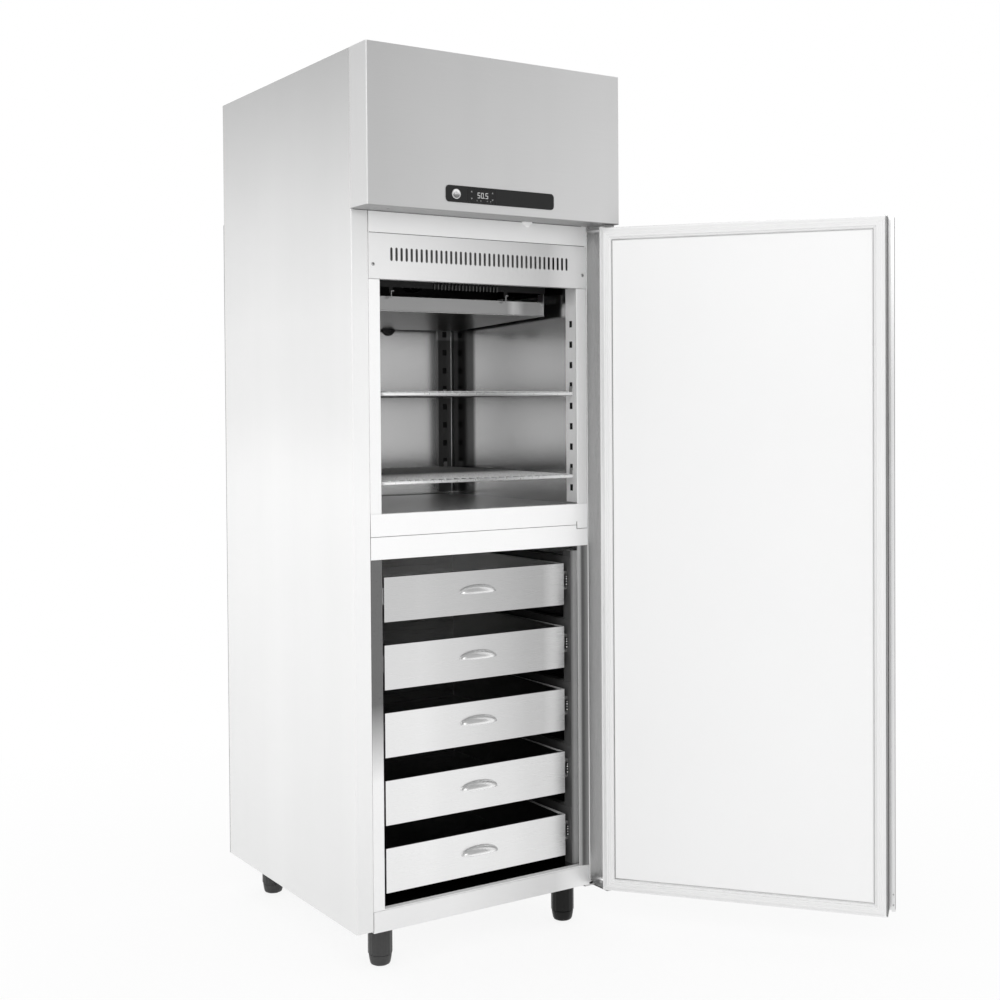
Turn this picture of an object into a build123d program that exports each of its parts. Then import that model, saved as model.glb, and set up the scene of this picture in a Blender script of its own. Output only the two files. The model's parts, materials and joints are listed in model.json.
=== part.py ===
from build123d import *
from math import cos, pi, sin
import os

os.makedirs("parts", exist_ok=True)

# An upright commercial fish refrigerator: a stainless cabinet with a machine bay on top, two wire
# shelves above a divider, five fish drawers below it, and one full-height door, shown open.
# Millimetres. X runs along the front, Y to the back and Z up. The origin is on the floor, midway
# between the sides and in the plane of the cabinet's front frame.

# Cabinet shell
cabinet_width = 700.0
cabinet_depth = 745.0
cabinet_top = 2108.0
base_height = 95.0
side_lift = 5.0
skin = 1.2
bend = 1.5
flange_width = 44.0
flange_return = 14.0
rear_return = 20.0
top_return = 16.0
sill_height = 48.5
header_height = 49.5
deck_rise = 13.5
rear_upstand = 40.0
back_overrun = 30.0
panel_gap = 0.5
seat_gap = 0.3
foam_gap = 0.6

# Fascia and its controls
fascia_height = 361.5
fascia_depth = 79.0
fascia_bend = 2.5
fascia_hole_radius = 3.0
fascia_hole_from_side = 72.0
fascia_hole_inset = 5.0
fascia_hole_pitch = 39.0
bezel_width = 300.0
bezel_height = 38.0
bezel_radius = 9.0
bezel_proud = 1.5
bezel_body = 18.0
bezel_lip = 3.5
bezel_x = 2.0
bezel_rise = 40.5
display_width = 78.0
display_height = 31.0
display_depth = 3.0
display_offset = -54.0
button_radius = 12.0
button_offset = -123.0
button_proud = 1.6
button_length = 14.0
button_travel = 2.0
button_fit = 0.08

# Insulated body
side_wall = 60.0
back_wall = 115.0
liner_sheet = 1.0
liner_bend = 4.0
liner_setback = 18.0
floor_rise = 2.5
ceiling_rise = 3.0
strip_front = 1.5
strip_inset = 30.0
strip_lip = 3.0
strip_head = 10.0
strip_round = 2.0

# Divider between the shelf bay and the drawer bay
drawer_bay_height = 805.0
divider_height = 104.0
divider_air_gap = 28.0
divider_margin = 1.0
divider_seam = 1.4
trim_back = 0.1
catch_width = 31.0
catch_height = 17.0
catch_thickness = 1.2
catch_end = 1.5

# Air grille in front of the evaporator
grille_height = 105.0
grille_return = 15.0
slot_count = 38
slot_pitch = 13.3
slot_width = 5.5
slot_height = 31.0
slot_drop = 47.0

# Evaporator, its fan, tray and drain
evaporator_side_gap = 28.0
evaporator_front = 118.0
evaporator_depth = 228.0
evaporator_skirt = 6.0
window_count = 19
window_pitch = 10.0
window_width = 5.0
window_height = 24.0
window_x = 24.0
hanger_width = 10.0
hanger_drop = 14.0
hanger_left = -189.0
hanger_right = 137.0
coil_side_gap = 37.0
coil_inset = 22.0
coil_depth = 130.0
coil_height = 84.0
fin_pitch = 22.0
fin_groove = 14.0
fin_cut = 12.0
coil_tube_radius = 5.0
coil_tube_rows = 3
coil_tube_spacing = 26.0
fan_radius = 44.0
fan_tip_gap = 4.0
ring_sides = 32
round_sides = 16
fan_hub_radius = 15.0
fan_hub_length = 20.0
fan_shaft_radius = 3.0
fan_blades = 5
fan_chord = 26.0
blade_sheet = 1.5
blade_pitch = 55.0
blade_root = 2.0
shaft_fit = 0.05
motor_radius = 24.0
motor_length = 36.0
tray_front_height = 35.0
tray_fall = 17.0
tray_front_gap = 6.0
tray_back_gap = 70.0
tray_drop = 22.0
tray_tab_width = 24.0
drain_x = 70.0
drain_radius = 10.0
drain_bore = 8.0
drain_rise = 12.0
grommet_radius = 17.0
grommet_thickness = 6.0

# Slotted uprights, shelf clips and wire shelves
upright_width = 42.0
upright_depth = 5.0
upright_sheet = 1.2
upright_lift = 3.0
upright_above_grille = 3.0
upright_gap = 0.5
rear_upright_inset = 26.0
hook_count = 9
hook_first = 36.5
hook_last = 89.7
hook_width = 13.0
hook_height = 16.0
clip_width = 11.0
clip_sheet = 1.5
clip_reach = 21.0
clip_top = 6.0
shelf_below_hook = 21.0
upper_shelf_hook = 5
lower_shelf_hook = 1
shelf_side_gap = 13.0
shelf_front = 2.0
shelf_back_gap = 10.0
shelf_rod_radius = 4.0
shelf_rod_sides = 6
shelf_wire_radius = 1.5
shelf_wire_pitch = 21.0
shelf_cross_rods = 3
shelf_wire_gap = 0.05
shelf_travel = 300.0

# Drawers, their slides and racks
drawer_count = 5
drawer_side_gap = 35.0
drawer_front = 33.0
drawer_back_gap = 57.0
drawer_height = 104.0
drawer_pitch = 158.0
drawer_top_gap = 46.0
drawer_sheet = 1.2
drawer_rim = 12.0
drawer_travel = 450.0
slide_height = 45.0
slide_drop = 44.0
slide_setback = 7.0
slide_back_gap = 33.0
slide_sheet = 1.5
slide_space = 13.5
slide_outer_lip = 9.0
slide_mid_from = 4.8
slide_mid_to = 11.5
slide_mid_web = 7.0
slide_mid_sheet = 1.2
slide_inner_lip = 6.5
slide_ball_gap = 0.3
rack_sheet = 1.5
bracket_above = 15.0
bracket_height = 94.0
bracket_back_gap = 80.0
post_width = 30.0
post_front = 8.0
post_back_inset = 54.0
post_top_gap = 15.0
handle_half_width = 52.0
handle_reach = 20.0
handle_facets = 12
handle_wall = 1.8
handle_drop = 53.0

# Door, shown swung open
door_open_angle = 129.0
door_gap = 10.0
hinge_from_side = 11.0
hinge_from_frame = 44.0
door_top_gap = 8.5
door_sheet = 1.0
grip_depth = 14.0
grip_lip = 25.0
grip_bead = 8.0
grip_groove = 10.0
gasket_inset = 5.0
gasket_width = 24.0
gasket_bulb = 15.0
gasket_foot = 5.0
gasket_round = 3.0
gasket_clearance = 0.4
field_margin = 3.0
field_raise = 3.0
end_hole_rise = 16.0
end_hole_pitch = 25.0
end_hole_radius = 2.0
pin_radius = 5.0
pin_length = 22.0
pin_fit = 0.05
bush_radius = 9.0
bush_collar_radius = 10.5
bush_length = 24.0
bush_collar = 1.5
bracket_plate = 4.0
bracket_from_side = 2.0
bracket_width = 31.0
bracket_reach = 60.0
bracket_leg = 44.0
bracket_leg_sheet = 3.0
bracket_pad_depth = 58.0
bracket_pad_width = 25.0
switch_x = 126.0
switch_width = 28.0
switch_height = 12.0
switch_depth = 8.0

# Levelling feet
foot_from_side = 89.0
foot_front = 56.0
foot_back = 82.0
sleeve_radius = 29.0
sleeve_length = 69.0
foot_pad_radius = 23.5
foot_band = 4.0
foot_shoulder_radius = 27.5
foot_stem_radius = 12.0
foot_stem_length = 55.0
foot_fit = 0.05
foot_travel = 30.0

# Condensing unit on the machine deck
condenser_from_side = 165.0
condenser_front = 60.0
condenser_width = 250.0
condenser_height = 240.0
condenser_depth = 60.0
condenser_lift = 15.0
condenser_fin_pitch = 12.5
condenser_groove = 7.5
condenser_cut = 8.0
shroud_margin = 8.0
shroud_sheet = 2.0
shroud_foot = 60.0
cooling_fan_radius = 98.0
cooling_fan_gap = 5.0
cooling_hub_radius = 28.0
cooling_hub_length = 30.0
cooling_chord = 50.0
cooling_blades = 6
cooling_shaft_radius = 4.0
cooling_motor_radius = 38.0
cooling_motor_length = 60.0
arm_width = 10.0
arm_sheet = 4.0
arm_clear = 2.0
compressor_x = 170.0
compressor_y = 500.0
compressor_radius = 78.0
compressor_height = 190.0
compressor_dome = 26.0
compressor_sides = 20
compressor_foot_radius = 13.0
compressor_foot_height = 18.0
compressor_base_width = 210.0
compressor_base_depth = 160.0
compressor_base_sheet = 4.0
port_radius = 8.0
port_length = 14.0
port_drop = 60.0
box_x = 180.0
box_front = 50.0
box_width = 230.0
box_depth = 110.0
box_height = 120.0
box_round = 6.0
gland_radius = 9.0
gland_length = 12.0
pipe_radius = 5.0
pipe_sides = 6
pipe_entry_inset = 20.0
pipe_entry_y = 296.0
pipe_spacing = 28.0
pipe_bend = 18.0
pipe_low = 40.0
pipe_gap_x = 28.0
pipe_run_gap = 60.0
coil_port_high = 30.0
coil_port_low = 56.0
pipe_hole_gap = 0.5
drier_radius = 13.0
drier_length = 90.0
screw_radius = 4.5
screw_head = 1.8
screw_sides = 8
grille_screw_inset = 11.5
grille_screw_drop = 72.0

# Planes and levels worked out from the sizes above
half_width = cabinet_width / 2
open_half = half_width - flange_width
inner_half = half_width - side_wall
inner_back = cabinet_depth - back_wall
base_half = open_half - panel_gap
strip_half = open_half - strip_inset
back_face = cabinet_depth - skin
side_bottom = base_height + side_lift
sill_z = base_height + sill_height
floor_z = sill_z + floor_rise
fascia_z = cabinet_top - fascia_height
head_z = fascia_z - header_height
ceiling_z = head_z + ceiling_rise
deck_z = fascia_z + deck_rise
divider_z = floor_z + drawer_bay_height
divider_top = divider_z + divider_height
grille_z = head_z - grille_height
evaporator_z = grille_z - evaporator_skirt
evaporator_back = evaporator_front + evaporator_depth
tray_z = evaporator_z - tray_drop
tray_front = evaporator_front + tray_front_gap
tray_back = inner_back - tray_back_gap
drain_z = tray_z - tray_front_height - tray_fall + drain_rise
upright_z = divider_top + upright_lift
upright_height = grille_z + upright_above_grille - upright_z
hook_pitch = (upright_height - hook_first - hook_last) / (hook_count - 1)
evaporator_half_width = inner_half - evaporator_side_gap
coil_half_width = evaporator_half_width - coil_side_gap
shelf_length = inner_back - shelf_back_gap - shelf_front
shelf_half_width = inner_half - upright_depth - shelf_side_gap
drawer_half_width = inner_half - drawer_side_gap
drawer_back = inner_back - drawer_back_gap
foot_x = half_width - foot_from_side
condenser_x = condenser_from_side - half_width
door_bottom = base_height + bush_collar
door_top = fascia_z - door_top_gap
hinge_x = half_width - hinge_from_side
pipe_entry_x = pipe_entry_inset - coil_half_width
pipe_entries = [(pipe_entry_x, pipe_entry_y), (pipe_entry_x, pipe_entry_y + pipe_spacing)]


def hook_z(number):
    """Height of a slot in the uprights, counted from the lowest."""
    return upright_z + hook_first + number * hook_pitch


def shelf_z(number):
    """Height of the rods of a shelf whose clips hang in the given slot."""
    return hook_z(number) - shelf_below_hook


def drawer_top(number):
    """Height of a drawer's rim, counted from the top drawer."""
    return divider_z - drawer_top_gap - number * drawer_pitch


def block(x, y, z, mode=Mode.ADD):
    """A box between its low and high limits on each axis."""
    with Locations(((x[0] + x[1]) / 2, (y[0] + y[1]) / 2, (z[0] + z[1]) / 2)):
        Box(x[1] - x[0], y[1] - y[0], z[1] - z[0], mode=mode)


def span(half):
    """Limits the same distance either side of the middle."""
    return (-half, half)


def folded(*points, sheet=skin, radius=bend, side=Side.LEFT):
    """Outline of a folded sheet whose outer face follows the points."""
    with BuildSketch(Plane.XY) as outline:
        with BuildLine():
            if radius:
                FilletPolyline(*points, radius=radius + sheet)
            else:
                Polyline(*points)
            offset(amount=sheet, kind=Kind.INTERSECTION, side=side, mode=Mode.ADD)
        make_face()
    return outline.sketch


def rod_x(x, y, z, radius, mode=Mode.ADD):
    """A round bar along X, between two limits."""
    with Locations(Location(((x[0] + x[1]) / 2, y, z), (0, 90, 0))):
        Cylinder(radius, x[1] - x[0], mode=mode)


def rod_y(x, y, z, radius, mode=Mode.ADD):
    """A round bar along Y, between two limits."""
    with Locations(Location((x, (y[0] + y[1]) / 2, z), (90, 0, 0))):
        Cylinder(radius, y[1] - y[0], mode=mode)


def rod_z(x, y, z, radius, mode=Mode.ADD):
    """A round bar along Z, between two limits."""
    with Locations((x, y, (z[0] + z[1]) / 2)):
        Cylinder(radius, z[1] - z[0], mode=mode)


def prism(start, end, radius, sides, mode=Mode.ADD):
    """A straight bar of regular section, from one point to another."""
    run = Vector(*end) - Vector(*start)
    with BuildSketch(Plane(origin=start, z_dir=run)) as section:
        RegularPolygon(radius, sides)
    extrude(section.sketch, amount=run.length, mode=mode)


def drill(x, y, z, deep):
    """A hole for a refrigerant pipe, as deep on either side of a level."""
    hole = (pipe_radius + pipe_hole_gap) / cos(pi / pipe_sides)
    prism((x, y, z - 2 * deep), (x, y, z + 2 * deep), hole, pipe_sides, mode=Mode.SUBTRACT)


def drain_hole(near, far):
    """The way through for the drain pipe, between two limits on Y."""
    hole = drain_radius + seat_gap
    prism((drain_x, near, drain_z), (drain_x, far, drain_z), hole, round_sides, Mode.SUBTRACT)


def motor(face, ring_radius, stand, radius, length, shaft_radius, shaft_length):
    """A motor on four arms that stand on the sheet round its fan, with its shaft towards -Y."""
    x, y, z = face
    prism((x, y, z), (x, y + length, z), radius, round_sides)
    rod_y(x, (y - shaft_length, y), z, shaft_radius)
    reach = ring_radius + arm_clear + arm_width
    for turn in range(4):
        spoke = Location(face, (0, 45 + 90 * turn, 0))
        with Locations(spoke * Location(((radius / 2 + reach) / 2, arm_sheet / 2, 0))):
            Box(reach - radius / 2, arm_sheet, arm_width)
        with Locations(spoke * Location((reach - arm_width / 2, -stand / 2, 0))):
            Box(arm_width, stand, arm_width)


def impeller(face, radius, hub_radius, hub_length, shaft_radius, blades, chord):
    """A fan in front of its motor's face, bored to run on the shaft."""
    x, y, z = face
    prism((x, y - hub_length, z), (x, y - seat_gap, z), hub_radius, round_sides)
    root = hub_radius - blade_root
    for number in range(blades):
        spoke = Location((x, y - hub_length / 2, z), (0, 360 * number / blades, 0))
        with Locations(spoke * Location(((root + radius) / 2, 0, 0), (blade_pitch, 0, 0))):
            Box(radius - root, chord, blade_sheet)
    rod_y(x, (y - hub_length, y), z, shaft_radius + shaft_fit, mode=Mode.SUBTRACT)


def save(piece, name, place=Location()):
    """Label a finished piece, set it in its place and write it under the same name."""
    piece.part.label = name
    export_step(piece.part.moved(place), f"parts/{name}.step")


# Side panels, each folded from the front flange round to the rear return
for side, name in ((-1, "side_panel_left"), (1, "side_panel_right")):
    with BuildPart() as side_panel:
        with BuildSketch(Plane.XY.offset(side_bottom)):
            add(
                folded(
                    (side * open_half, flange_return),
                    (side * open_half, 0),
                    (side * half_width, 0),
                    (side * half_width, back_face),
                    (side * (half_width - rear_return), back_face),
                    side=Side.LEFT if side > 0 else Side.RIGHT,
                )
            )
        extrude(amount=cabinet_top - side_bottom)
        underside = sorted((side * (open_half + skin), side * (half_width - skin)))
        block(underside, (skin, back_face - skin), (side_bottom, side_bottom + skin))
        rim = sorted((side * (half_width - top_return), side * (half_width - skin)))
        block(rim, (skin, back_face - skin), (cabinet_top - skin, cabinet_top))
    save(side_panel, name)

# Base panel: the sill, the underside and a rear upstand in one sheet
with BuildPart() as base_panel:
    with BuildSketch(Plane.YZ.offset(-base_half)):
        add(
            folded(
                (flange_return, sill_z),
                (0, sill_z),
                (0, base_height),
                (back_face, base_height),
                (back_face, base_height + rear_upstand),
                radius=0,
            )
        )
    extrude(amount=2 * base_half)
save(base_panel, "base_panel")

# Machine deck: the header of the door frame and the floor of the machine bay in one sheet
with BuildPart() as machine_deck:
    with BuildSketch(Plane.YZ.offset(-base_half)):
        add(
            folded(
                (flange_return, head_z),
                (0, head_z),
                (0, deck_z),
                (back_face, deck_z),
                radius=0,
                side=Side.RIGHT,
            )
        )
    extrude(amount=2 * base_half)
    for side in (-1, 1):
        wing = sorted((side * base_half, side * (half_width - skin - panel_gap)))
        wing_back = back_face - skin - panel_gap
        block(wing, (flange_return + panel_gap, wing_back), (deck_z - skin, deck_z))
    for x, y in pipe_entries:
        drill(x, y, deck_z, skin)
save(machine_deck, "machine_deck")

# Back panel, outermost at the rear, with the drain outlet
with BuildPart() as back_panel:
    block(span(half_width), (back_face, cabinet_depth), (side_bottom, deck_z + back_overrun))
    drain_hole(back_face - skin, cabinet_depth + skin)
save(back_panel, "back_panel")

# Foamed insulation round the liner, and the core of the divider
core_back = inner_back - divider_air_gap
with BuildPart() as insulation:
    filled = (skin + foam_gap, back_face - skin - foam_gap)
    low = side_bottom + skin + foam_gap
    block(span(half_width - skin - foam_gap), filled, (low, deck_z - skin - foam_gap))
    block(span(base_half - foam_gap), filled, (base_height + skin + foam_gap, low))
    block(
        span(inner_half + liner_sheet),
        (0, inner_back + liner_sheet),
        (floor_z - liner_sheet, ceiling_z + liner_sheet),
        mode=Mode.SUBTRACT,
    )
    block(
        span(open_half + skin + foam_gap),
        (0, liner_setback),
        (sill_z - skin - foam_gap, head_z + skin + foam_gap),
        mode=Mode.SUBTRACT,
    )
    for side in (-1, 1):
        fold = sorted((side * (open_half - foam_gap), side * (open_half + skin + foam_gap)))
        block(
            fold,
            (0, flange_return + foam_gap),
            (base_height, deck_z),
            mode=Mode.SUBTRACT,
        )
    drain_hole(inner_back - skin, cabinet_depth)
    for x, y in pipe_entries:
        drill(x, y, deck_z, header_height)
    block(
        span(inner_half),
        (liner_setback + panel_gap + liner_sheet, core_back - liner_sheet),
        (divider_z + divider_margin + liner_sheet, divider_top - divider_margin - liner_sheet),
    )
save(insulation, "insulation")

# Inner liner: walls folded round the back corners, with floor and ceiling sheets
with BuildPart() as inner_liner:
    with BuildSketch(Plane.XY.offset(floor_z - liner_sheet)):
        add(
            folded(
                (inner_half + liner_sheet, liner_setback),
                (inner_half + liner_sheet, inner_back + liner_sheet),
                (-inner_half - liner_sheet, inner_back + liner_sheet),
                (-inner_half - liner_sheet, liner_setback),
                sheet=liner_sheet,
                radius=liner_bend,
            )
        )
    extrude(amount=ceiling_z - floor_z + 2 * liner_sheet)
    for z in (floor_z - liner_sheet, ceiling_z):
        block(
            span(inner_half + liner_sheet),
            (liner_setback, inner_back + liner_sheet),
            (z, z + liner_sheet),
        )
    drain_hole(inner_back - liner_bend, inner_back + liner_bend)
    for x, y in pipe_entries:
        drill(x, y, ceiling_z, liner_sheet)
save(inner_liner, "inner_liner")

# Breaker strip: the plastic frame that joins the liner to the outer flanges
with BuildPart() as breaker_strip:
    depth = (strip_front, liner_setback)
    block(span(open_half - seat_gap), depth, (sill_z + seat_gap, head_z - seat_gap))
    block(span(strip_half), depth, (floor_z, head_z - strip_head), mode=Mode.SUBTRACT)
    behind = (strip_front + strip_lip, liner_setback)
    block(span(inner_half), behind, (floor_z, head_z - strip_head), mode=Mode.SUBTRACT)
    front_edges = breaker_strip.edges().filter_by(Axis.Z).group_by(Axis.Y)[0]
    fillet(front_edges.filter_by_position(Axis.X, *span(strip_half + seat_gap)), strip_round)
save(breaker_strip, "breaker_strip")

# Divider: a steel sleeve round an insulated core, resting against both liner walls
with BuildPart() as divider_panel:
    sleeve_z = (divider_z + divider_margin, divider_top - divider_margin)
    block(span(inner_half), (liner_setback + panel_gap, core_back), sleeve_z)
    block(
        span(inner_half),
        (liner_setback + panel_gap + liner_sheet, core_back - liner_sheet),
        (sleeve_z[0] + liner_sheet, sleeve_z[1] - liner_sheet),
        mode=Mode.SUBTRACT,
    )
save(divider_panel, "divider_panel")

# Two folded cover strips on the divider's front, and the small catch over their seam
trim_face = (strip_front - trim_back - skin, strip_front - trim_back)
seam_z = (divider_z + divider_top) / 2
with BuildPart() as divider_trim:
    for low, high in (
        (divider_z, seam_z - divider_seam / 2),
        (seam_z + divider_seam / 2, divider_top),
    ):
        block(span(base_half), trim_face, (low, high))
        for z in (low, high - skin):
            block(
                span(strip_half - panel_gap),
                (trim_face[1], liner_setback + panel_gap),
                (z, z + skin),
            )
    block(
        (base_half - catch_end - catch_width, base_half - catch_end),
        (trim_face[0] - catch_thickness, trim_face[0]),
        (seam_z - catch_height / 2, seam_z + catch_height / 2),
    )
save(divider_trim, "divider_trim")

# Grille panel: one sheet with a row of stamped slots and a folded bottom edge
with BuildPart() as grille_panel:
    block(span(base_half), trim_face, (grille_z, head_z - seat_gap))
    block(
        span(strip_half - panel_gap),
        (trim_face[1], trim_face[1] + grille_return),
        (grille_z, grille_z + skin),
    )
    with BuildSketch(Plane.XZ.offset(-trim_face[1])):
        with Locations((0, head_z - slot_drop)):
            with GridLocations(slot_pitch, slot_height, slot_count, 1):
                Rectangle(slot_width, slot_height)
    extrude(amount=skin, mode=Mode.SUBTRACT)
save(grille_panel, "grille_panel")

# Evaporator housing: a hood under the ceiling with a louvred front and a fan ring at the back
fan_z = (evaporator_z + ceiling_z) / 2
evaporator_motor = (0, evaporator_back + fan_hub_length / 2, fan_z)
with BuildPart() as evaporator_housing:
    block(
        span(evaporator_half_width),
        (evaporator_front, evaporator_back),
        (evaporator_z, ceiling_z),
    )
    block(
        span(evaporator_half_width - skin),
        (evaporator_front + skin, evaporator_back - skin),
        (evaporator_z, ceiling_z - skin),
        mode=Mode.SUBTRACT,
    )
    with BuildSketch(Plane.XZ.offset(-evaporator_front - skin)):
        with Locations((window_x, evaporator_z + window_height / 2 + skin)):
            with GridLocations(window_pitch, window_height, window_count, 1):
                Rectangle(window_width, window_height)
    extrude(amount=skin, mode=Mode.SUBTRACT)
    with BuildSketch(Plane.XZ.offset(-evaporator_back)):
        with Locations((0, fan_z)):
            RegularPolygon(fan_radius + fan_tip_gap, ring_sides, major_radius=False)
    extrude(amount=skin, mode=Mode.SUBTRACT)
    for x, y in pipe_entries:
        drill(x, y, ceiling_z, skin)
    for x in (hanger_left, hanger_right):
        block(
            (x, x + hanger_width),
            (evaporator_front, evaporator_front + skin),
            (evaporator_z - hanger_drop, evaporator_z),
        )
    motor(
        evaporator_motor,
        fan_radius + fan_tip_gap,
        fan_hub_length / 2,
        motor_radius,
        motor_length,
        fan_shaft_radius,
        fan_hub_length,
    )
save(evaporator_housing, "evaporator_housing")

# Evaporator coil: a block of fins hung from the housing's roof
coil_top = ceiling_z - skin
coil_span = (evaporator_front + coil_inset, evaporator_front + coil_inset + coil_depth)
coil_levels = (coil_top - coil_height, coil_top)
coil_middle = (coil_span[0] + coil_span[1]) / 2
fin_count = int(2 * coil_half_width / fin_pitch) - 1
with BuildPart() as evaporator_coil:
    block(span(coil_half_width), coil_span, coil_levels)
    with BuildSketch(Plane.XY.offset(coil_levels[0])):
        with Locations((0, coil_middle)):
            with GridLocations(fin_pitch, coil_depth, fin_count, 1):
                Rectangle(fin_groove, coil_depth)
    extrude(amount=fin_cut, mode=Mode.SUBTRACT)
    for row in range(coil_tube_rows):
        level = coil_top - coil_tube_spacing / 2 - row * coil_tube_spacing
        ends = span(coil_half_width + 2 * coil_tube_radius)
        tube = [(x, coil_middle, level) for x in ends]
        prism(*tube, coil_tube_radius, pipe_sides)
save(evaporator_coil, "evaporator_coil")

# Evaporator fan, which draws the cabinet's air over the coil
with BuildPart() as evaporator_fan:
    impeller(
        evaporator_motor,
        fan_radius,
        fan_hub_radius,
        fan_hub_length,
        fan_shaft_radius,
        fan_blades,
        fan_chord,
    )
save(evaporator_fan, "evaporator_fan")

# Drip tray: an open tray that falls to the back, hung under the housing on four tabs
with BuildPart() as drip_tray:
    for inset, mode in ((0, Mode.ADD), (skin, Mode.SUBTRACT)):
        half = evaporator_half_width - inset
        with BuildSketch(Plane.YZ.offset(-half)):
            Polygon(
                (tray_front + inset, tray_z),
                (tray_front + inset, tray_z - tray_front_height + inset),
                (tray_back - inset, tray_z - tray_front_height - tray_fall + inset),
                (tray_back - inset, tray_z),
                align=None,
            )
        extrude(amount=2 * half, mode=mode)
    drain_hole(tray_back - 2 * skin, tray_back + skin)
    tab_back = evaporator_back - tray_front_gap
    for side in (-1, 1):
        wall = sorted((side * (evaporator_half_width - skin), side * evaporator_half_width))
        for low in (tray_front, tab_back - tray_tab_width):
            block(wall, (low, low + tray_tab_width), (tray_z, evaporator_z))
save(drip_tray, "drip_tray")

# Drain pipe from the tray out through the back, with its grommet against the liner
with BuildPart() as drain_pipe:
    ends = [(drain_x, y, drain_z) for y in (tray_back - 2 * skin, cabinet_depth)]
    grommet = [(drain_x, y, drain_z) for y in (inner_back - grommet_thickness, inner_back)]
    prism(*ends, drain_radius, round_sides)
    prism(*grommet, grommet_radius, round_sides)
    prism(*ends, drain_bore, round_sides, Mode.SUBTRACT)
save(drain_pipe, "drain_pipe")

# Slotted uprights: one pair on the side walls near the front, one pair on the back wall
side_face = inner_half - upright_depth
rear_face = inner_back - upright_depth
side_upright_y = liner_setback + upright_gap + upright_width / 2
rear_upright_x = inner_half - rear_upright_inset
uprights = [(-1, side_upright_y), (1, side_upright_y), (0, -rear_upright_x), (0, rear_upright_x)]


def on_wall(wall, deep, along, z, mode=Mode.ADD):
    """A box set out from an upright's face; wall 0 is the back, 1 and -1 are the sides."""
    if wall == 0:
        block(along, (rear_face + deep[0], rear_face + deep[1]), z, mode)
    else:
        limits = sorted((wall * (side_face + deep[0]), wall * (side_face + deep[1])))
        block(limits, along, z, mode)


with BuildPart() as shelf_uprights:
    tall = (upright_z, upright_z + upright_height)
    for wall, middle in uprights:
        across = (middle - upright_width / 2, middle + upright_width / 2)
        within = (across[0] + upright_sheet, across[1] - upright_sheet)
        on_wall(wall, (0, upright_depth), across, tall)
        on_wall(wall, (upright_sheet, upright_depth), within, tall, mode=Mode.SUBTRACT)
        for number in range(hook_count):
            level = (hook_z(number) - hook_height / 2, hook_z(number) + hook_height / 2)
            slot = (middle - hook_width / 2, middle + hook_width / 2)
            on_wall(wall, (0, upright_sheet), slot, level, mode=Mode.SUBTRACT)
save(shelf_uprights, "shelf_uprights")

# Shelf clips: each hooks over the lower edge of a slot and carries the shelf on a folded arm
with BuildPart() as shelf_clips:
    for wall, middle in uprights:
        across = (middle - clip_width / 2, middle + clip_width / 2)
        for number in (lower_shelf_hook, upper_shelf_hook):
            arm = shelf_z(number) - shelf_rod_radius
            edge = hook_z(number) - hook_height / 2
            behind = (upright_depth - 2 * clip_sheet, upright_depth - clip_sheet)
            on_wall(wall, (-clip_sheet, 0), across, (arm - clip_sheet, edge + clip_top))
            on_wall(wall, (-clip_sheet, behind[1]), across, (edge, edge + clip_sheet))
            on_wall(wall, behind, across, (edge - clip_top, edge + clip_sheet))
            on_wall(wall, (-clip_reach, 0), across, (arm - clip_sheet, arm))
save(shelf_clips, "shelf_clips")

# Wire shelves: a rod frame with cross rods, and close wires laid over it from front to back
wire_count = int(2 * (shelf_half_width - 2 * shelf_rod_radius) / shelf_wire_pitch) + 1
rod_corner = shelf_rod_radius / cos(pi / shelf_rod_sides)
rail_x = shelf_half_width - rod_corner
rod_step = (shelf_length - 2 * rod_corner) / (shelf_cross_rods + 1)
rod_places = [shelf_front + rod_corner + row * rod_step for row in range(shelf_cross_rods + 2)]
for name, number in (("shelf_lower", lower_shelf_hook), ("shelf_upper", upper_shelf_hook)):
    with BuildPart() as shelf:
        level = shelf_z(number)
        wire_z = level + shelf_rod_radius + shelf_wire_radius + shelf_wire_gap
        with BuildSketch(Plane.XZ.offset(-shelf_front)):
            with Locations((-rail_x, level), (rail_x, level)):
                RegularPolygon(shelf_rod_radius, shelf_rod_sides, major_radius=False)
            with Locations((0, wire_z)):
                with GridLocations(shelf_wire_pitch, shelf_length, wire_count, 1):
                    Rectangle(2 * shelf_wire_radius, 2 * shelf_wire_radius)
        extrude(amount=-shelf_length)
        with BuildSketch(Plane.YZ.offset(-shelf_half_width)):
            with Locations(*[(y, level) for y in rod_places]):
                RegularPolygon(shelf_rod_radius, shelf_rod_sides, major_radius=False)
        extrude(amount=2 * shelf_half_width)
    save(shelf, name)

# Drawer racks: four posts with a folded bracket for each drawer on either side
rack_face = drawer_half_width + slide_space
bracket_front = liner_setback + post_front
bracket_back = inner_back - bracket_back_gap
with BuildPart() as drawer_racks:
    for side in (-1, 1):
        web = sorted((side * (rack_face + rack_sheet), side * (rack_face + 2 * rack_sheet)))
        legs = sorted((side * (rack_face + rack_sheet), side * inner_half))
        for row in range(2):
            front = bracket_front + row * (bracket_back - post_back_inset - post_width - bracket_front)
            tall = (floor_z, divider_z - post_top_gap)
            block(web, (front, front + post_width), tall)
            for low in (front, front + post_width - rack_sheet):
                block(legs, (low, low + rack_sheet), tall)
        for number in range(drawer_count):
            high = drawer_top(number) + bracket_above
            plate = sorted((side * rack_face, side * (rack_face + rack_sheet)))
            ledge = sorted((side * rack_face, side * (inner_half - rack_sheet)))
            run = (bracket_front, bracket_back)
            block(plate, run, (high - bracket_height, high))
            block(ledge, run, (high - rack_sheet, high))
save(drawer_racks, "drawer_racks")


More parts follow.
